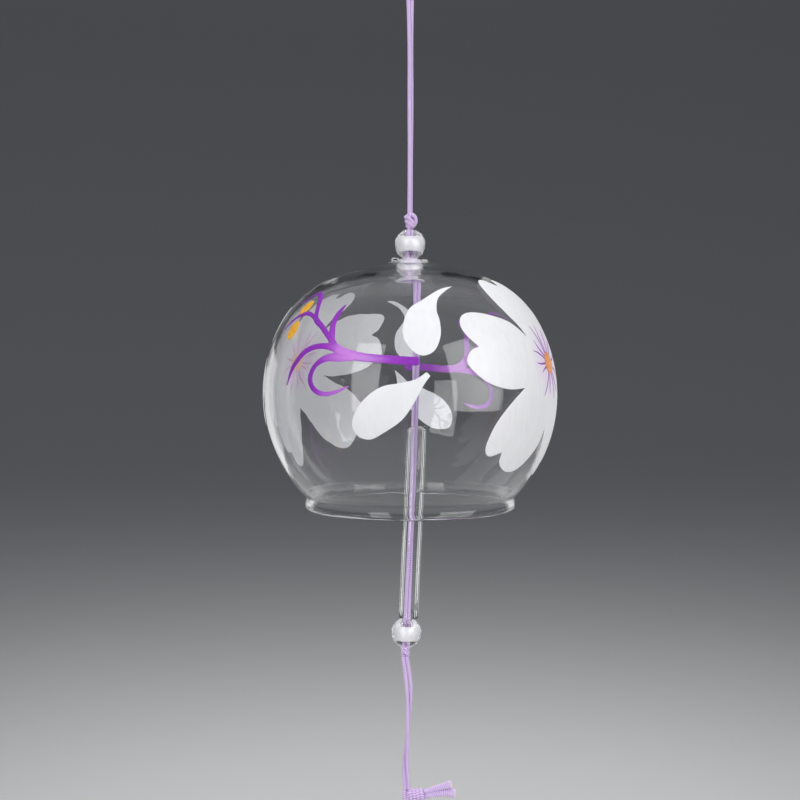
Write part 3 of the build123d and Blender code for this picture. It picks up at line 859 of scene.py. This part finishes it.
def film(sides, side_name, layer, level=0.0, grid=film_grid):
    """A part: a film of paint inside an outline of smooth sides."""
    rim = []
    for side, following in zip(sides, [*sides[1:], sides[0]]):
        rim += smooth_line([flat_place(*place) for place in [*side, following[0]]], rim_step)[:-1]
    rim = np.array(rim)
    after = np.roll(rim, -1, axis=0)
    run = after - rim
    tangents = after - np.roll(rim, 1, axis=0)
    tangents /= np.linalg.norm(tangents, axis=1)[:, None]
    area = np.sum(rim[:, 0] * after[:, 1] - after[:, 0] * rim[:, 1])
    inward = np.stack([-tangents[:, 1], tangents[:, 0]], axis=1) * math.copysign(1, area)

    def edge_distance(p):
        share = np.clip(np.sum((p - rim) * run, axis=1) / np.maximum(np.sum(run * run, axis=1), 1e-9), 0, 1)
        return float(np.min(np.linalg.norm(rim + run * share[:, None] - p, axis=1)))

    def inside(p, gap):
        crossing = (rim[:, 1] > p[1]) != (after[:, 1] > p[1])
        with np.errstate(divide="ignore", invalid="ignore"):
            at = rim[:, 0] + (p[1] - rim[:, 1]) * run[:, 0] / run[:, 1]
        return int(np.sum(crossing & (p[0] < at))) % 2 == 1 and edge_distance(p) > gap

    inner = [p for offset in edge_rows for p in rim + inward * offset if inside(p, 0.85 * offset)]
    lows, highs = rim.min(0), rim.max(0)
    for row, y in enumerate(np.arange(lows[1], highs[1], grid * 0.87)):
        for x in np.arange(lows[0] + (grid / 2 if row % 2 else 0), highs[0], grid):
            if inside(np.array((x, y)), 0.55):
                inner.append((x, y))
    places = [Vector(p) for p in [*rim, *inner]]
    made, _, triangles, *_ = delaunay_2d_cdt(places, [], [list(range(len(rim)))], 1, 1e-6)
    low, high = layer
    top = []
    for p in made:
        rise = 1 - math.exp(-edge_distance(np.array(p)) / film_edge)
        streak = 0.012 * noise.noise(Vector((p[0] * 0.9, p[1] * 0.35, 3.0))) * rise
        top.append(on_glass(p, level + low + (high - low) * (0.25 + 0.75 * rise) + streak, side_name))
    bottom = [on_glass(p, level + low, side_name) for p in made]
    heart = flat_place(*flower_centres[side_name])
    from_heart = [(Vector(p) - heart).length for p in made]
    return top + bottom, two_skins(triangles, len(made)), {"from_heart": from_heart * 2}


def stroke(points, side_name, layer, across=7):
    """A part: one brush stroke, domed across."""
    line = smooth_line([(*flat_place(az, z), width, light) for az, z, width, light in points], line_step)
    low, high = layer
    top, bottom, lights = [], [], []
    for k, here in enumerate(line):
        a, b = line[max(k - 1, 0)], line[min(k + 1, len(line) - 1)]
        aim = Vector((b[0] - a[0], b[1] - a[1])).normalized()
        ragged = 1 + 0.05 * noise.noise(Vector((here[0] * 0.8, here[1] * 0.8, 7.0)))
        half = max(0.06, here[2] / 2 * ragged)
        start_share = min(1.0, (k + 0.5) * line_step / max(half, 0.1))
        half *= math.sqrt(1 - (1 - start_share) ** 2)
        for v in np.linspace(-1, 1, across):
            place = Vector((here[0], here[1])) + Vector((-aim.y, aim.x)) * half * v
            rise = math.sqrt(max(0.0, 1 - v * v))
            top.append(on_glass(place, low + (high - low) * (0.2 + 0.8 * rise), side_name))
            bottom.append(on_glass(place, low, side_name))
            lights.append(here[3] + 0.25 * (1 - abs(v)) * here[3])
    size, n, last = len(top), across, len(line) - 1
    faces = []
    for i in range(last):
        for j in range(n - 1):
            quad = (i * n + j, i * n + j + 1, (i + 1) * n + j + 1, (i + 1) * n + j)
            faces += [quad[::-1], tuple(k + size for k in quad)]
    rim = [*range(n), *range(2 * n - 1, (last + 1) * n, n), *range(last * n + n - 2, last * n - 1, -1)]
    rim += range((last - 1) * n, 0, -n)
    faces += [(a, b, b + size, a + size) for a, b in zip(rim, rim[1:] + rim[:1])]
    return top + bottom, faces, {"light": lights + lights}


def around(centre, direction, distance):
    """A place in degrees and mm that lies a distance in mm off another, in a direction in degrees."""
    turn = math.radians(direction)
    flat = flat_place(*centre) + Vector((math.cos(turn), math.sin(turn))) * distance
    return math.degrees(flat.x / bell_radius), outline_at(flat.y)[1]


def blob(centre, long_half, short_half, tilt, ragged, seed):
    """A round outline, as one side."""
    draw = random.Random(seed)
    places = []
    for k in range(blob_points):
        angle = 2 * math.pi * k / blob_points
        share = 1 + ragged * draw.uniform(-1, 1)
        x, y = long_half * math.cos(angle) * share, short_half * math.sin(angle) * share
        places.append(around(centre, tilt + math.degrees(math.atan2(y, x)), math.hypot(x, y)))
    return [places]


def stamen_parts(side_name, layer):
    centre = flower_centres[side_name]
    parts = []
    for k, (direction, length) in enumerate(stamens):
        places = (
            around(centre, direction, flower_radius * 0.5),
            around(centre, direction + (3 if k % 2 else -3), flower_radius + (length - flower_radius) * 0.5),
            around(centre, direction, length),
        )
        points = [(*place, *look) for place, look in zip(places, stamen_widths)]
        parts.append(stroke(points, side_name, layer, across=5))
    return parts


def make_side(side_name):
    """One copy of the blossom with its branch and buds."""

    def paint(kind, parts, material):
        dressed(f"{kind}_{side_name}", parts, material, "bell")

    across, up = far_petal_shift[side_name]
    far = [[[(a + across, z + up) for a, z in side] for side in sides] for sides in far_petals]
    petals = []
    for k, sides in enumerate([*far, *near_petals[side_name]]):
        petals.append(film(sides, side_name, petal_layer, k * petal_step))
    paint("blossom_petals", petals, "white_paint")
    fallen = [film(sides, side_name, petal_layer) for sides in fallen_petals[side_name]]
    paint("fallen_petals", fallen, "fallen_paint")
    heart = blob(flower_centres[side_name], flower_radius * 1.02, flower_radius * 0.98, 0, 0.05, 2)
    paint("flower_heart", [film(heart, side_name, heart_layer, grid=0.6)], "orange_paint")
    paint("stamens", stamen_parts(side_name, stamen_layer), "purple_paint")
    paint("stamens_shown_through", stamen_parts(side_name, show_through_layer), "pink_shade")
    paint("heart_shown_through", [film(heart, side_name, show_through_layer, grid=0.8)], "orange_shade")

    across, up = twig_shift[side_name]
    twigs = [[(a + across, z + up, *look) for a, z, *look in points] for points in twig_strokes]
    branch = []
    for k, points in enumerate([*stem_strokes[side_name], *twigs]):
        branch.append(stroke(points, side_name, [height + stroke_step * k for height in branch_layer]))
    paint("branch", branch, "purple_paint")
    bud_parts = []
    for k, (a, z, long_half, short_half, tilt) in enumerate(buds):
        outline = blob((a + across, z + up), long_half, short_half, tilt, 0.04, 5 + k)
        bud_parts.append(film(outline, side_name, branch_layer, grid=0.6))
    paint("buds", bud_parts, "bud_paint")


# The beads. Their rings of corners are (share of the half height, share of the radius, 1 if the ring stands
# half a facet on).
bead_diameter = 8.1
bead_height = 7.8
bead_facets = 12
bead_rings = (
    (-1, 0.4, 0), (-0.95, 0.5, 0), (-0.68, 0.82, 1), (-0.25, 1, 0), (0.25, 1, 1), (0.68, 0.82, 0),
    (0.95, 0.5, 1), (1, 0.4, 1),
)
bead_corner_share = 1.025
bead_hole = 1.2
core_diameter = 5.4
core_height = 3.3


def facet_faces():
    """Faces between the bead's rings, split in two where one ring is half a facet on."""
    faces = []
    for i, (here, there) in enumerate(zip(bead_rings, bead_rings[1:])):
        for j in range(bead_facets):
            a, b = i * bead_facets + j, i * bead_facets + (j + 1) % bead_facets
            c, d = a + bead_facets, b + bead_facets
            if here[2] == there[2]:
                faces.append((a, b, d, c))
            elif here[2] < there[2]:
                faces += [(a, b, c), (b, d, c)]
            else:
                faces += [(a, d, c), (a, b, d)]
    return faces


def make_bead(name, centre, up, body):
    n = bead_facets
    points = []
    for share, wide, half_turn in bead_rings:
        out = wide * bead_corner_share * bead_diameter / 2
        points += ring(centre, up, out, share * bead_height / 2, n, half_turn / 2)
    faces = facet_faces()
    start = len(points)
    edge = bead_height / 2 - 0.02
    flank = bead_height / 2 - 0.2
    for radius, height in ((0.05, edge), (0, flank), (0, -flank), (0.05, -edge)):
        points += ring(centre, up, bead_hole + radius, height, n)
    loops = [start - n, start, start + n, start + 2 * n, start + 3 * n, 0]
    for low, high in zip(loops, loops[1:]):
        faces += quads_between(low, high, n)
    shell = dressed(
        f"{name}_facets", [(points, faces, {})], "bead_clear", body, f"{name}_shell",
        smooth=False,
    )
    bevel = shell.modifiers.new("edges", "BEVEL")
    bevel.width = 0.05 * MM
    bevel.segments = 2
    bevel.limit_method = "ANGLE"
    bevel.angle_limit = math.radians(8)

    half = core_height / 2
    radius = core_diameter / 2
    flat_radius = math.sqrt(radius**2 - half**2)
    rows = [(math.sqrt(radius**2 - height**2), height) for height in np.linspace(-half, half, 25)]
    over = half + 0.05
    end = [(flat_radius - 0.12, over), (bead_hole + 0.25, over), (bead_hole + 0.12, half - 0.05)]
    rows += end + [(radius, -height) for radius, height in reversed(end)]
    core = [lathe(rows, 64, centre, up)]
    dressed(f"{name}_white", core, "bead_white", body, f"{name}_core")


# The stopper's steps, as (radius, distance under its top), rounded at the corners
stopper_steps = (
    (1.35, 0), (2.35, 0), (2.55, 0.08), (2.6, 0.25), (2.52, 0.42), (2.6, 0.58), (2.52, 0.76), (2.6, 0.94),
    (2.6, 1.45), (2.75, 1.58), (3.12, 1.6), (3.28, 1.72), (3.3, 1.9), (3.22, 2.1), (3.3, 2.3),
    (3.22, 2.52), (3.3, 2.74), (3.3, 3.28), (3.42, 3.4), (3.95, 3.42), (4.08, 3.52), (4.1, 3.7),
    (4.05, 3.92), (3.9, 4), (2.85, 4), (2.72, 3.94), (2.7, 3.8), (2.7, 2.45), (2.6, 2.3), (1.3, 2.3),
    (1.22, 2.2), (1.22, 0.12),
)


def make_stopper():
    rows = [(radius, -drop) for radius, drop in reversed(stopper_steps)]
    stopper = [lathe(rows, 96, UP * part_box("crown_stopper")[1].z, UP)]
    dressed("stepped_stopper", stopper, "stopper", "stopper", "crown_stopper")


# The clapper tube: its size, its rounded rims, and the nick in its upper one as (angle, spread, depth)
tube_diameter = 5.35
tube_bore = 3.7
tube_length = 53.0
tube_foot = 4.15
tube_offset = 0.41
tube_rim = 0.22
tube_rings = 26
tube_segments = 96
tube_nick = (200, 16, 0.5)


def make_tube():
    base = lower_bead_centre + clapper_up * tube_foot * MM + Vector((tube_offset * MM, 0, 0))
    outer, inner = tube_diameter / 2, tube_bore / 2
    wall = (outer + inner) / 2
    between = [tube_length * k / tube_rings for k in range(1, tube_rings)]
    stations = [tube_rim, *between, tube_length - tube_rim]
    rim = ((outer - 0.07, 0.05), (wall + 0.12, 0), (wall - 0.12, 0), (inner + 0.07, 0.05))
    rows = [(outer, z) for z in stations] + [(radius, tube_length - z) for radius, z in rim]
    rows += [(inner, z) for z in reversed(stations)] + list(reversed(rim))
    points, faces, values = lathe(rows, tube_segments, base, clapper_up)
    middle, spread, depth = tube_nick
    for k, point in enumerate(points):
        local = point - base
        height = local.dot(clapper_up) / MM
        angle = math.atan2(local.y, local.x)
        bend = 0.03 * noise.noise(Vector((math.cos(angle) * 1.5, math.sin(angle) * 1.5, height / 9)))
        out = (local - clapper_up * local.dot(clapper_up)).normalized()
        points[k] = point + out * bend * MM
        off = abs((math.degrees(angle) - middle + 180) % 360 - 180) / spread
        if off < 1 and height > tube_length - 1:
            points[k] -= clapper_up * depth * (1 - off) * (1 - (tube_length - height)) * MM
    part = (points, faces, values)
    dressed("clapper_glass_tube", [part], "tube_glass", "tube", "clapper_tube")


# The paper strip
strip_thickness = 0.3
strip_corner = 1.5
strip_hole_radius = 2.0
strip_hole_drop = 5.5
strip_curl = 1.3
strip_grid = 1.6


def strip_rim(width, length):
    """The strip's outline with round corners and slightly ragged sides."""
    draw = random.Random(11)
    left, right = strip_corner - width / 2, width / 2 - strip_corner
    top, bottom = -strip_corner, strip_corner - length
    corners = ((right, top, 0), (left, top, 90), (left, bottom, 180), (right, bottom, 270))
    rim = []
    for k, (x, y, start) in enumerate(corners):
        rim += spokes((x, y), strip_corner, np.radians(start + np.arange(0, 91, 15)))
        x, y, start = corners[(k + 1) % 4]
        run = np.subtract(spokes((x, y), strip_corner, [math.radians(start)])[0], rim[-1])
        across = np.array((1, 0) if abs(run[1]) > abs(run[0]) else (0, 1))
        here = rim[-1]
        steps = int(math.hypot(*run) / 1.2)
        rim += [tuple(here + run * s / steps + across * draw.uniform(-0.05, 0.05)) for s in range(1, steps)]
    return rim


def make_strip():
    low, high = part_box("paper_strip")
    width, length = (high.x - low.x) / MM, (high.z - low.z) / MM
    hole_centre = (0, -strip_hole_drop)
    rim = strip_rim(width, length)
    hole = spokes(hole_centre, strip_hole_radius, [2 * math.pi * k / 40 for k in range(40)])
    inner = []
    for k in range(1, int(width / strip_grid)):
        for j in range(1, int(length / strip_grid)):
            x, y = strip_grid * k - width / 2, -strip_grid * j
            clear = math.hypot(x, y + strip_hole_drop) > strip_hole_radius + 0.7
            if clear and x < width / 2 - 0.8 and y > 0.8 - length:
                inner.append((x, y))
    inner += spokes(hole_centre, strip_hole_radius + 0.45, np.linspace(0, 2 * math.pi, 32, endpoint=False))
    places = [Vector(p) for p in rim + hole + inner]
    edges = [(len(rim) + k, len(rim) + (k + 1) % len(hole)) for k in range(len(hole))]
    made, _, triangles, *_ = delaunay_2d_cdt(places, edges, [list(range(len(rim)))], 1, 1e-6)
    keep = []
    for triangle in triangles:
        middle = sum((made[i] for i in triangle), Vector((0, 0))) / 3
        if (middle - Vector(hole_centre)).length > strip_hole_radius * 0.99:
            keep.append(triangle)
    origin = Vector(((low.x + high.x) / 2, (low.y + high.y) / 2, high.z))
    points = []
    for face in (-strip_thickness / 2, strip_thickness / 2):
        for p in made:
            down = -p.y / length
            curl = strip_curl * (p.x / (width / 2)) ** 2 * (0.25 + 0.75 * down) - 0.35 * strip_curl * down
            wave = 0.35 * noise.noise(Vector((p.x / 17, p.y / 24, 5.0))) * min(1.0, down * 3)
            points.append(origin + Vector((p.x, face - curl - wave, p.y)) * MM)
    part = (points, two_skins(keep, len(made)), {})
    strip = dressed("washi_strip", [part], "paper", "strip", "paper_strip")


# Materials
stage_grey = srgb(100, 101, 104)
stage_pale = srgb(198, 198, 198)


def either_ray(tree, *kinds):
    """A socket that is 1 for rays of these kinds and 0 for all others."""
    path = tree.nodes.new("ShaderNodeLightPath")
    either = path.outputs[f"Is {kinds[0]} Ray"]
    for kind in kinds[1:]:
        larger = tree.nodes.new("ShaderNodeMath")
        larger.operation = "MAXIMUM"
        tree.links.new(either, larger.inputs[0])
        tree.links.new(path.outputs[f"Is {kind} Ray"], larger.inputs[1])
        either = larger.outputs[0]
    return either


def show_mixed(tree, share, first, second, output):
    """Shows one shader node, or the second one where the share is 1."""
    mixed = tree.nodes.new("ShaderNodeMixShader")
    for source, socket in zip((share, first.outputs[0], second.outputs[0]), mixed.inputs):
        tree.links.new(source, socket)
    tree.links.new(mixed.outputs[0], tree.nodes[output].inputs["Surface"])


# The numbers of a mix node's sockets for colours
mix_share, mix_first, mix_second, mix_result = 0, 6, 7, 2


class Look:
    """A node material under construction: its shader and its object coordinates."""

    def __init__(self, name, colour, roughness, **values):
        self.material = bpy.data.materials.new(name)
        self.material.use_nodes = True
        self.tree = self.material.node_tree
        self.shader = self.tree.nodes["Principled BSDF"]
        self.shader.inputs["Base Color"].default_value = (*colour, 1)
        self.shader.inputs["Roughness"].default_value = roughness
        for key, value in values.items():
            self.shader.inputs[key.replace("_", " ")].default_value = value
        self.place = self.node("TexCoord").outputs["Object"]

    def node(self, kind, inputs=None, **settings):
        """A new node, each of its inputs given a value or the socket that feeds it."""
        made = self.tree.nodes.new(f"ShaderNode{kind}")
        for key, value in settings.items():
            setattr(made, key, value)
        for key, value in (inputs or {}).items():
            if isinstance(value, bpy.types.NodeSocket):
                self.tree.links.new(value, made.inputs[key])
            else:
                made.inputs[key].default_value = value
        return made

    def stretched(self, scale):
        return self.node("Mapping", {"Scale": scale, "Vector": self.place}).outputs["Vector"]

    def noise(self, size, detail=3.0, scale=(1, 1, 1), rough=0.5):
        """Noise whose lumps are about that many mm across."""
        place = self.stretched(scale)
        inputs = {"Scale": 1 / (size * MM), "Detail": detail, "Roughness": rough, "Vector": place}
        return self.node("TexNoise", inputs).outputs["Fac"]

    def ramp(self, value, *stops):
        made = self.node("ValToRGB", {"Fac": value})
        elements = made.color_ramp.elements
        while len(elements) < len(stops):
            elements.new(0.5)
        for element, (at, colour) in zip(elements, stops):
            element.position = at
            element.color = (*colour, 1)
        return made.outputs["Color"]

    def range(self, value, low, high, to_low, to_high):
        inputs = {"Value": value, "From Min": low, "From Max": high, "To Min": to_low, "To Max": to_high}
        return self.node("MapRange", inputs).outputs["Result"]

    def attribute(self, name):
        return self.node("Attribute", attribute_name=name).outputs["Fac"]

    def mix(self, share, first, second):
        first, second = ((*c, 1) if isinstance(c, tuple) else c for c in (first, second))
        inputs = {mix_share: share, mix_first: first, mix_second: second}
        return self.node("Mix", inputs, data_type="RGBA").outputs[mix_result]

    def bump(self, value, strength, distance):
        made = self.node("Bump", {"Strength": strength, "Distance": distance * MM, "Height": value})
        self.tree.links.new(made.outputs["Normal"], self.shader.inputs["Normal"])

    def colour(self, value):
        self.tree.links.new(value, self.shader.inputs["Base Color"])

    def rough(self, value):
        self.tree.links.new(value, self.shader.inputs["Roughness"])

    def let_light_through(self, tint):
        """Shadow and diffuse rays pass straight through, as light does through thin clear glass."""
        clear = self.node("BsdfTransparent", {"Color": (*tint, 1)})
        rays = either_ray(self.tree, "Shadow", "Diffuse")
        show_mixed(self.tree, rays, self.shader, clear, "Material Output")


def glass_look(name, colour, ior, wave_size, wave, tint):
    look = Look(name, colour, 0.0, Transmission_Weight=1.0, IOR=ior)
    look.bump(look.noise(wave_size, 2.0), wave, 0.25)
    look.rough(look.range(look.noise(wave_size * 0.6, 4.0), 0.35, 0.75, 0.0, 0.02))
    look.let_light_through(tint)
    return look.material


def cord_look():
    look = Look("lilac_cord", srgb(200, 170, 224), 0.7, Sheen_Weight=0.35, Sheen_Roughness=0.4)
    fibre = look.noise(0.16, 4.0, (1, 1, 0.35))
    # The ramp over the rib height paints shade into the braid's grooves and a near-white painted highlight
    # on the tops of its ribs.
    shade = look.ramp(
        look.attribute("rib"), (0.0, srgb(158, 118, 193)), (0.35, srgb(211, 181, 233)),
        (0.95, srgb(245, 228, 253)), (1.0, srgb(252, 244, 255)),
    )
    paler = look.mix(look.range(look.noise(1.6, 2.0), 0.3, 0.75, 0.0, 0.4), shade, srgb(224, 206, 240))
    look.colour(look.mix(look.range(fibre, 0.3, 0.8, 0.2, 0.0), paler, srgb(168, 130, 198)))
    look.bump(fibre, 0.5, 0.05)
    return look.material


def white_look(name, base):
    look = Look(name, base, 0.42, Coat_Weight=0.08, Coat_Roughness=0.2)
    streak = look.noise(1.3, 4.0, (1, 1, 0.25))
    body = look.mix(look.range(streak, 0.35, 0.75, 0.0, 1.0), base, tuple(0.95 * c for c in base))
    near = look.range(look.attribute("from_heart"), 3.0, 11.0, 0.75, 0.0)
    look.colour(look.mix(near, body, srgb(232, 208, 240)))
    look.bump(streak, 0.12, 0.04)
    return look.material


def purple_look():
    look = Look("purple_paint", srgb(146, 38, 184), 0.3, Coat_Weight=0.35, Coat_Roughness=0.1)
    stops = (0.0, srgb(112, 24, 158)), (0.35, srgb(150, 44, 190)), (1.0, srgb(208, 134, 228))
    shade = look.ramp(look.attribute("light"), *stops)
    streak = look.noise(0.5, 4.0)
    look.colour(look.mix(look.range(streak, 0.3, 0.8, 0.0, 0.3), shade, srgb(190, 110, 220)))
    look.bump(streak, 0.4, 0.05)
    return look.material


def warm_look(name, dark, light, lump):
    look = Look(name, light, 0.38, Coat_Weight=0.3, Coat_Roughness=0.12)
    patch = look.noise(lump, 3.0)
    look.colour(look.ramp(patch, (0.3, dark), (0.7, light)))
    look.bump(patch, 0.5, 0.06)
    return look.material


def paper_look():
    look = Look("washi_paper", srgb(240, 234, 220), 0.85, Sheen_Weight=0.15)
    long_fibre = look.noise(1.1, 5.0, (0.18, 1, 1), 0.65)
    cross_fibre = look.noise(0.9, 5.0, (1, 1, 0.16), 0.65)
    cloud = look.range(look.noise(14.0, 4.0), 0.35, 0.7, 0.0, 1.0)
    body = look.mix(cloud, srgb(244, 240, 229), srgb(238, 232, 218))
    laid = look.mix(look.range(long_fibre, 0.6, 0.68, 0.0, 0.55), body, srgb(250, 247, 238))
    look.colour(look.mix(look.range(cross_fibre, 0.62, 0.7, 0.0, 0.5), laid, srgb(214, 203, 182)))
    look.bump(long_fibre, 0.6, 0.12)
    return look.material


def core_look():
    look = Look(
        "bead_white", srgb(248, 247, 250), 0.4, Transmission_Weight=0.1, Coat_Weight=0.3, Coat_Roughness=0.1,
    )
    cloudy = look.noise(2.4, 3.0)
    look.colour(look.ramp(cloudy, (0.3, srgb(240, 238, 246)), (0.7, srgb(252, 252, 253))))
    look.bump(cloudy, 0.15, 0.05)
    return look.material


def stopper_look():
    look = Look("stopper_clear", srgb(237, 231, 243), 0.16, Transmission_Weight=0.32, IOR=1.45)
    haze = look.noise(1.2, 3.0)
    look.bump(haze, 0.3, 0.05)
    look.rough(look.range(haze, 0.3, 0.7, 0.08, 0.2))
    look.let_light_through(srgb(235, 235, 238))
    return look.material


def make_materials():
    glass = (0.995, 0.998, 0.998)
    tint = (0.985, 0.988, 0.988)
    return {
        "cord": cord_look(),
        "glass": glass_look("blown_glass", glass, 1.48, 9.0, 0.25, tint),
        "tube_glass": glass_look("tube_glass", glass, 1.48, 4.0, 0.15, tint),
        "bead_clear": glass_look("bead_clear", (0.995, 0.995, 0.998), 1.52, 2.0, 0.1, (0.98, 0.98, 0.985)),
        "bead_white": core_look(),
        "stopper": stopper_look(),
        "white_paint": white_look("white_paint", srgb(238, 238, 240)),
        "fallen_paint": white_look("fallen_paint", srgb(240, 240, 244)),
        "purple_paint": purple_look(),
        "orange_paint": warm_look("orange_paint", srgb(226, 128, 60), srgb(246, 176, 92), 0.8),
        "bud_paint": warm_look("bud_paint", srgb(236, 158, 34), srgb(250, 200, 78), 0.9),
        "pink_shade": warm_look("pink_shade", srgb(226, 160, 206), srgb(238, 190, 222), 0.7),
        "orange_shade": warm_look("orange_shade", srgb(238, 190, 150), srgb(244, 214, 178), 1.0),
        "paper": paper_look(),
    }


# Floor and backdrop. The floor lies just under the strip and sweeps up all round into a wall.
floor_gap = 8.0
floor_radius = 340.0
sweep_radius = 620.0
wall_height = 260.0
sweep_segments = 96
sweep_arc_steps = 32
grey_from_radius = 780.0


def make_stage():
    floor_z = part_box("paper_strip")[0].z / MM - floor_gap
    line = [(floor_radius * k / 4, floor_z) for k in range(1, 5)]
    for k in range(1, sweep_arc_steps + 1):
        angle = math.pi / 2 * k / sweep_arc_steps
        across, up = sweep_radius * math.sin(angle), sweep_radius * (1 - math.cos(angle))
        line.append((floor_radius + across, floor_z + up))
    line.append((floor_radius + sweep_radius, floor_z + sweep_radius + wall_height))
    n = sweep_segments
    turns = [2 * math.pi * j / n for j in range(n)]
    points = [Vector((r * math.cos(a), r * math.sin(a), z)) * MM for r, z in line for a in turns]
    # Every face looks up or in
    faces = [quad[::-1] for quad in ring_faces(len(line), n)] + [tuple(range(n))]
    sweep = joined("studio_sweep", [(points, faces, {})])
    look = Look("studio_paper", stage_pale, 0.9)
    flat = look.node("VectorMath", {0: look.stretched((1, 1, 0))}, operation="LENGTH")
    share = look.range(flat.outputs["Value"], floor_radius * MM, grey_from_radius * MM, 0.0, 1.0)
    share.node.interpolation_type = "SMOOTHSTEP"
    look.colour(look.mix(share, stage_pale, stage_grey))
    sweep.data.materials.append(look.material)


# Softboxes: (name, azimuth and elevation from the bell in degrees, distance, width, height, power in watts,
# whether glass reflects it)
softboxes = (
    ("key_left", -33, 13, 620.0, 240.0, 560.0, 0.6, True),
    ("key_right", 51, 14, 560.0, 430.0, 500.0, 1.12, True),
    ("side_left", -142, -9, 600.0, 300.0, 400.0, 0.12, True),
    ("side_right", 142, -9, 600.0, 300.0, 400.0, 0.12, True),
    ("fill_front", -45, 3, 640.0, 420.0, 300.0, 0.5, False),
    ("fill_back", 180, 38, 640.0, 520.0, 520.0, 1.3, False),
    ("top", 180, 84, 640.0, 620.0, 620.0, 0.6, False),
)
lamp_spread = 130.0
world_level = 0.7
world_colour = (0.96, 0.97, 1.0)


def make_lamps():
    for name, azimuth, elevation, distance, width, height, power, reflected in softboxes:
        a, e = math.radians(azimuth), math.radians(elevation)
        back = Vector((math.sin(a) * math.cos(e), -math.cos(a) * math.cos(e), math.sin(e)))
        data = bpy.data.lights.new(name, "AREA")
        data.shape = "RECTANGLE"
        data.size = width * MM
        data.size_y = height * MM
        data.energy = power
        data.spread = math.radians(lamp_spread)
        lamp = bpy.data.objects.new(name, data)
        lamp.visible_camera = False
        lamp.visible_glossy = reflected
        lamp.visible_transmission = reflected
        lamp.location = UP * equator_z + back * distance * MM
        lamp.rotation_euler = (-back).to_track_quat("-Z", "Y").to_euler()
        bpy.context.scene.collection.objects.link(lamp)


def make_world():
    """Even light. What the camera and the glass see of the open studio has the backdrop's grey."""
    world = bpy.data.worlds.new("studio")
    world.use_nodes = True
    tree = world.node_tree
    background = tree.nodes["Background"]
    background.inputs["Color"].default_value = (*world_colour, 1)
    background.inputs["Strength"].default_value = world_level
    seen = tree.nodes.new("ShaderNodeBackground")
    seen.inputs["Color"].default_value = (*stage_grey, 1)
    rays = either_ray(tree, "Camera", "Glossy", "Transmission")
    show_mixed(tree, rays, background, seen, "World Output")
    bpy.context.scene.world = world


# Light passes many layers of glass here
glass_bounces = 24

make_camera()
materials = make_materials()
make_cords()
make_knots()
make_tie()
make_bell()
make_side("front")
make_side("back")
make_bead("upper_bead", upper_bead_centre, UP, "upper_bead")
make_bead("lower_bead", lower_bead_centre, clapper_up, "lower_bead")
make_stopper()
make_tube()
make_strip()
make_stage()
make_lamps()
make_world()
scene = bpy.context.scene
scene.view_settings.view_transform = "Standard"
scene.cycles.max_bounces = glass_bounces
scene.cycles.transmission_bounces = glass_bounces
scene.cycles.glossy_bounces = glass_bounces
scene.cycles.transparent_max_bounces = glass_bounces
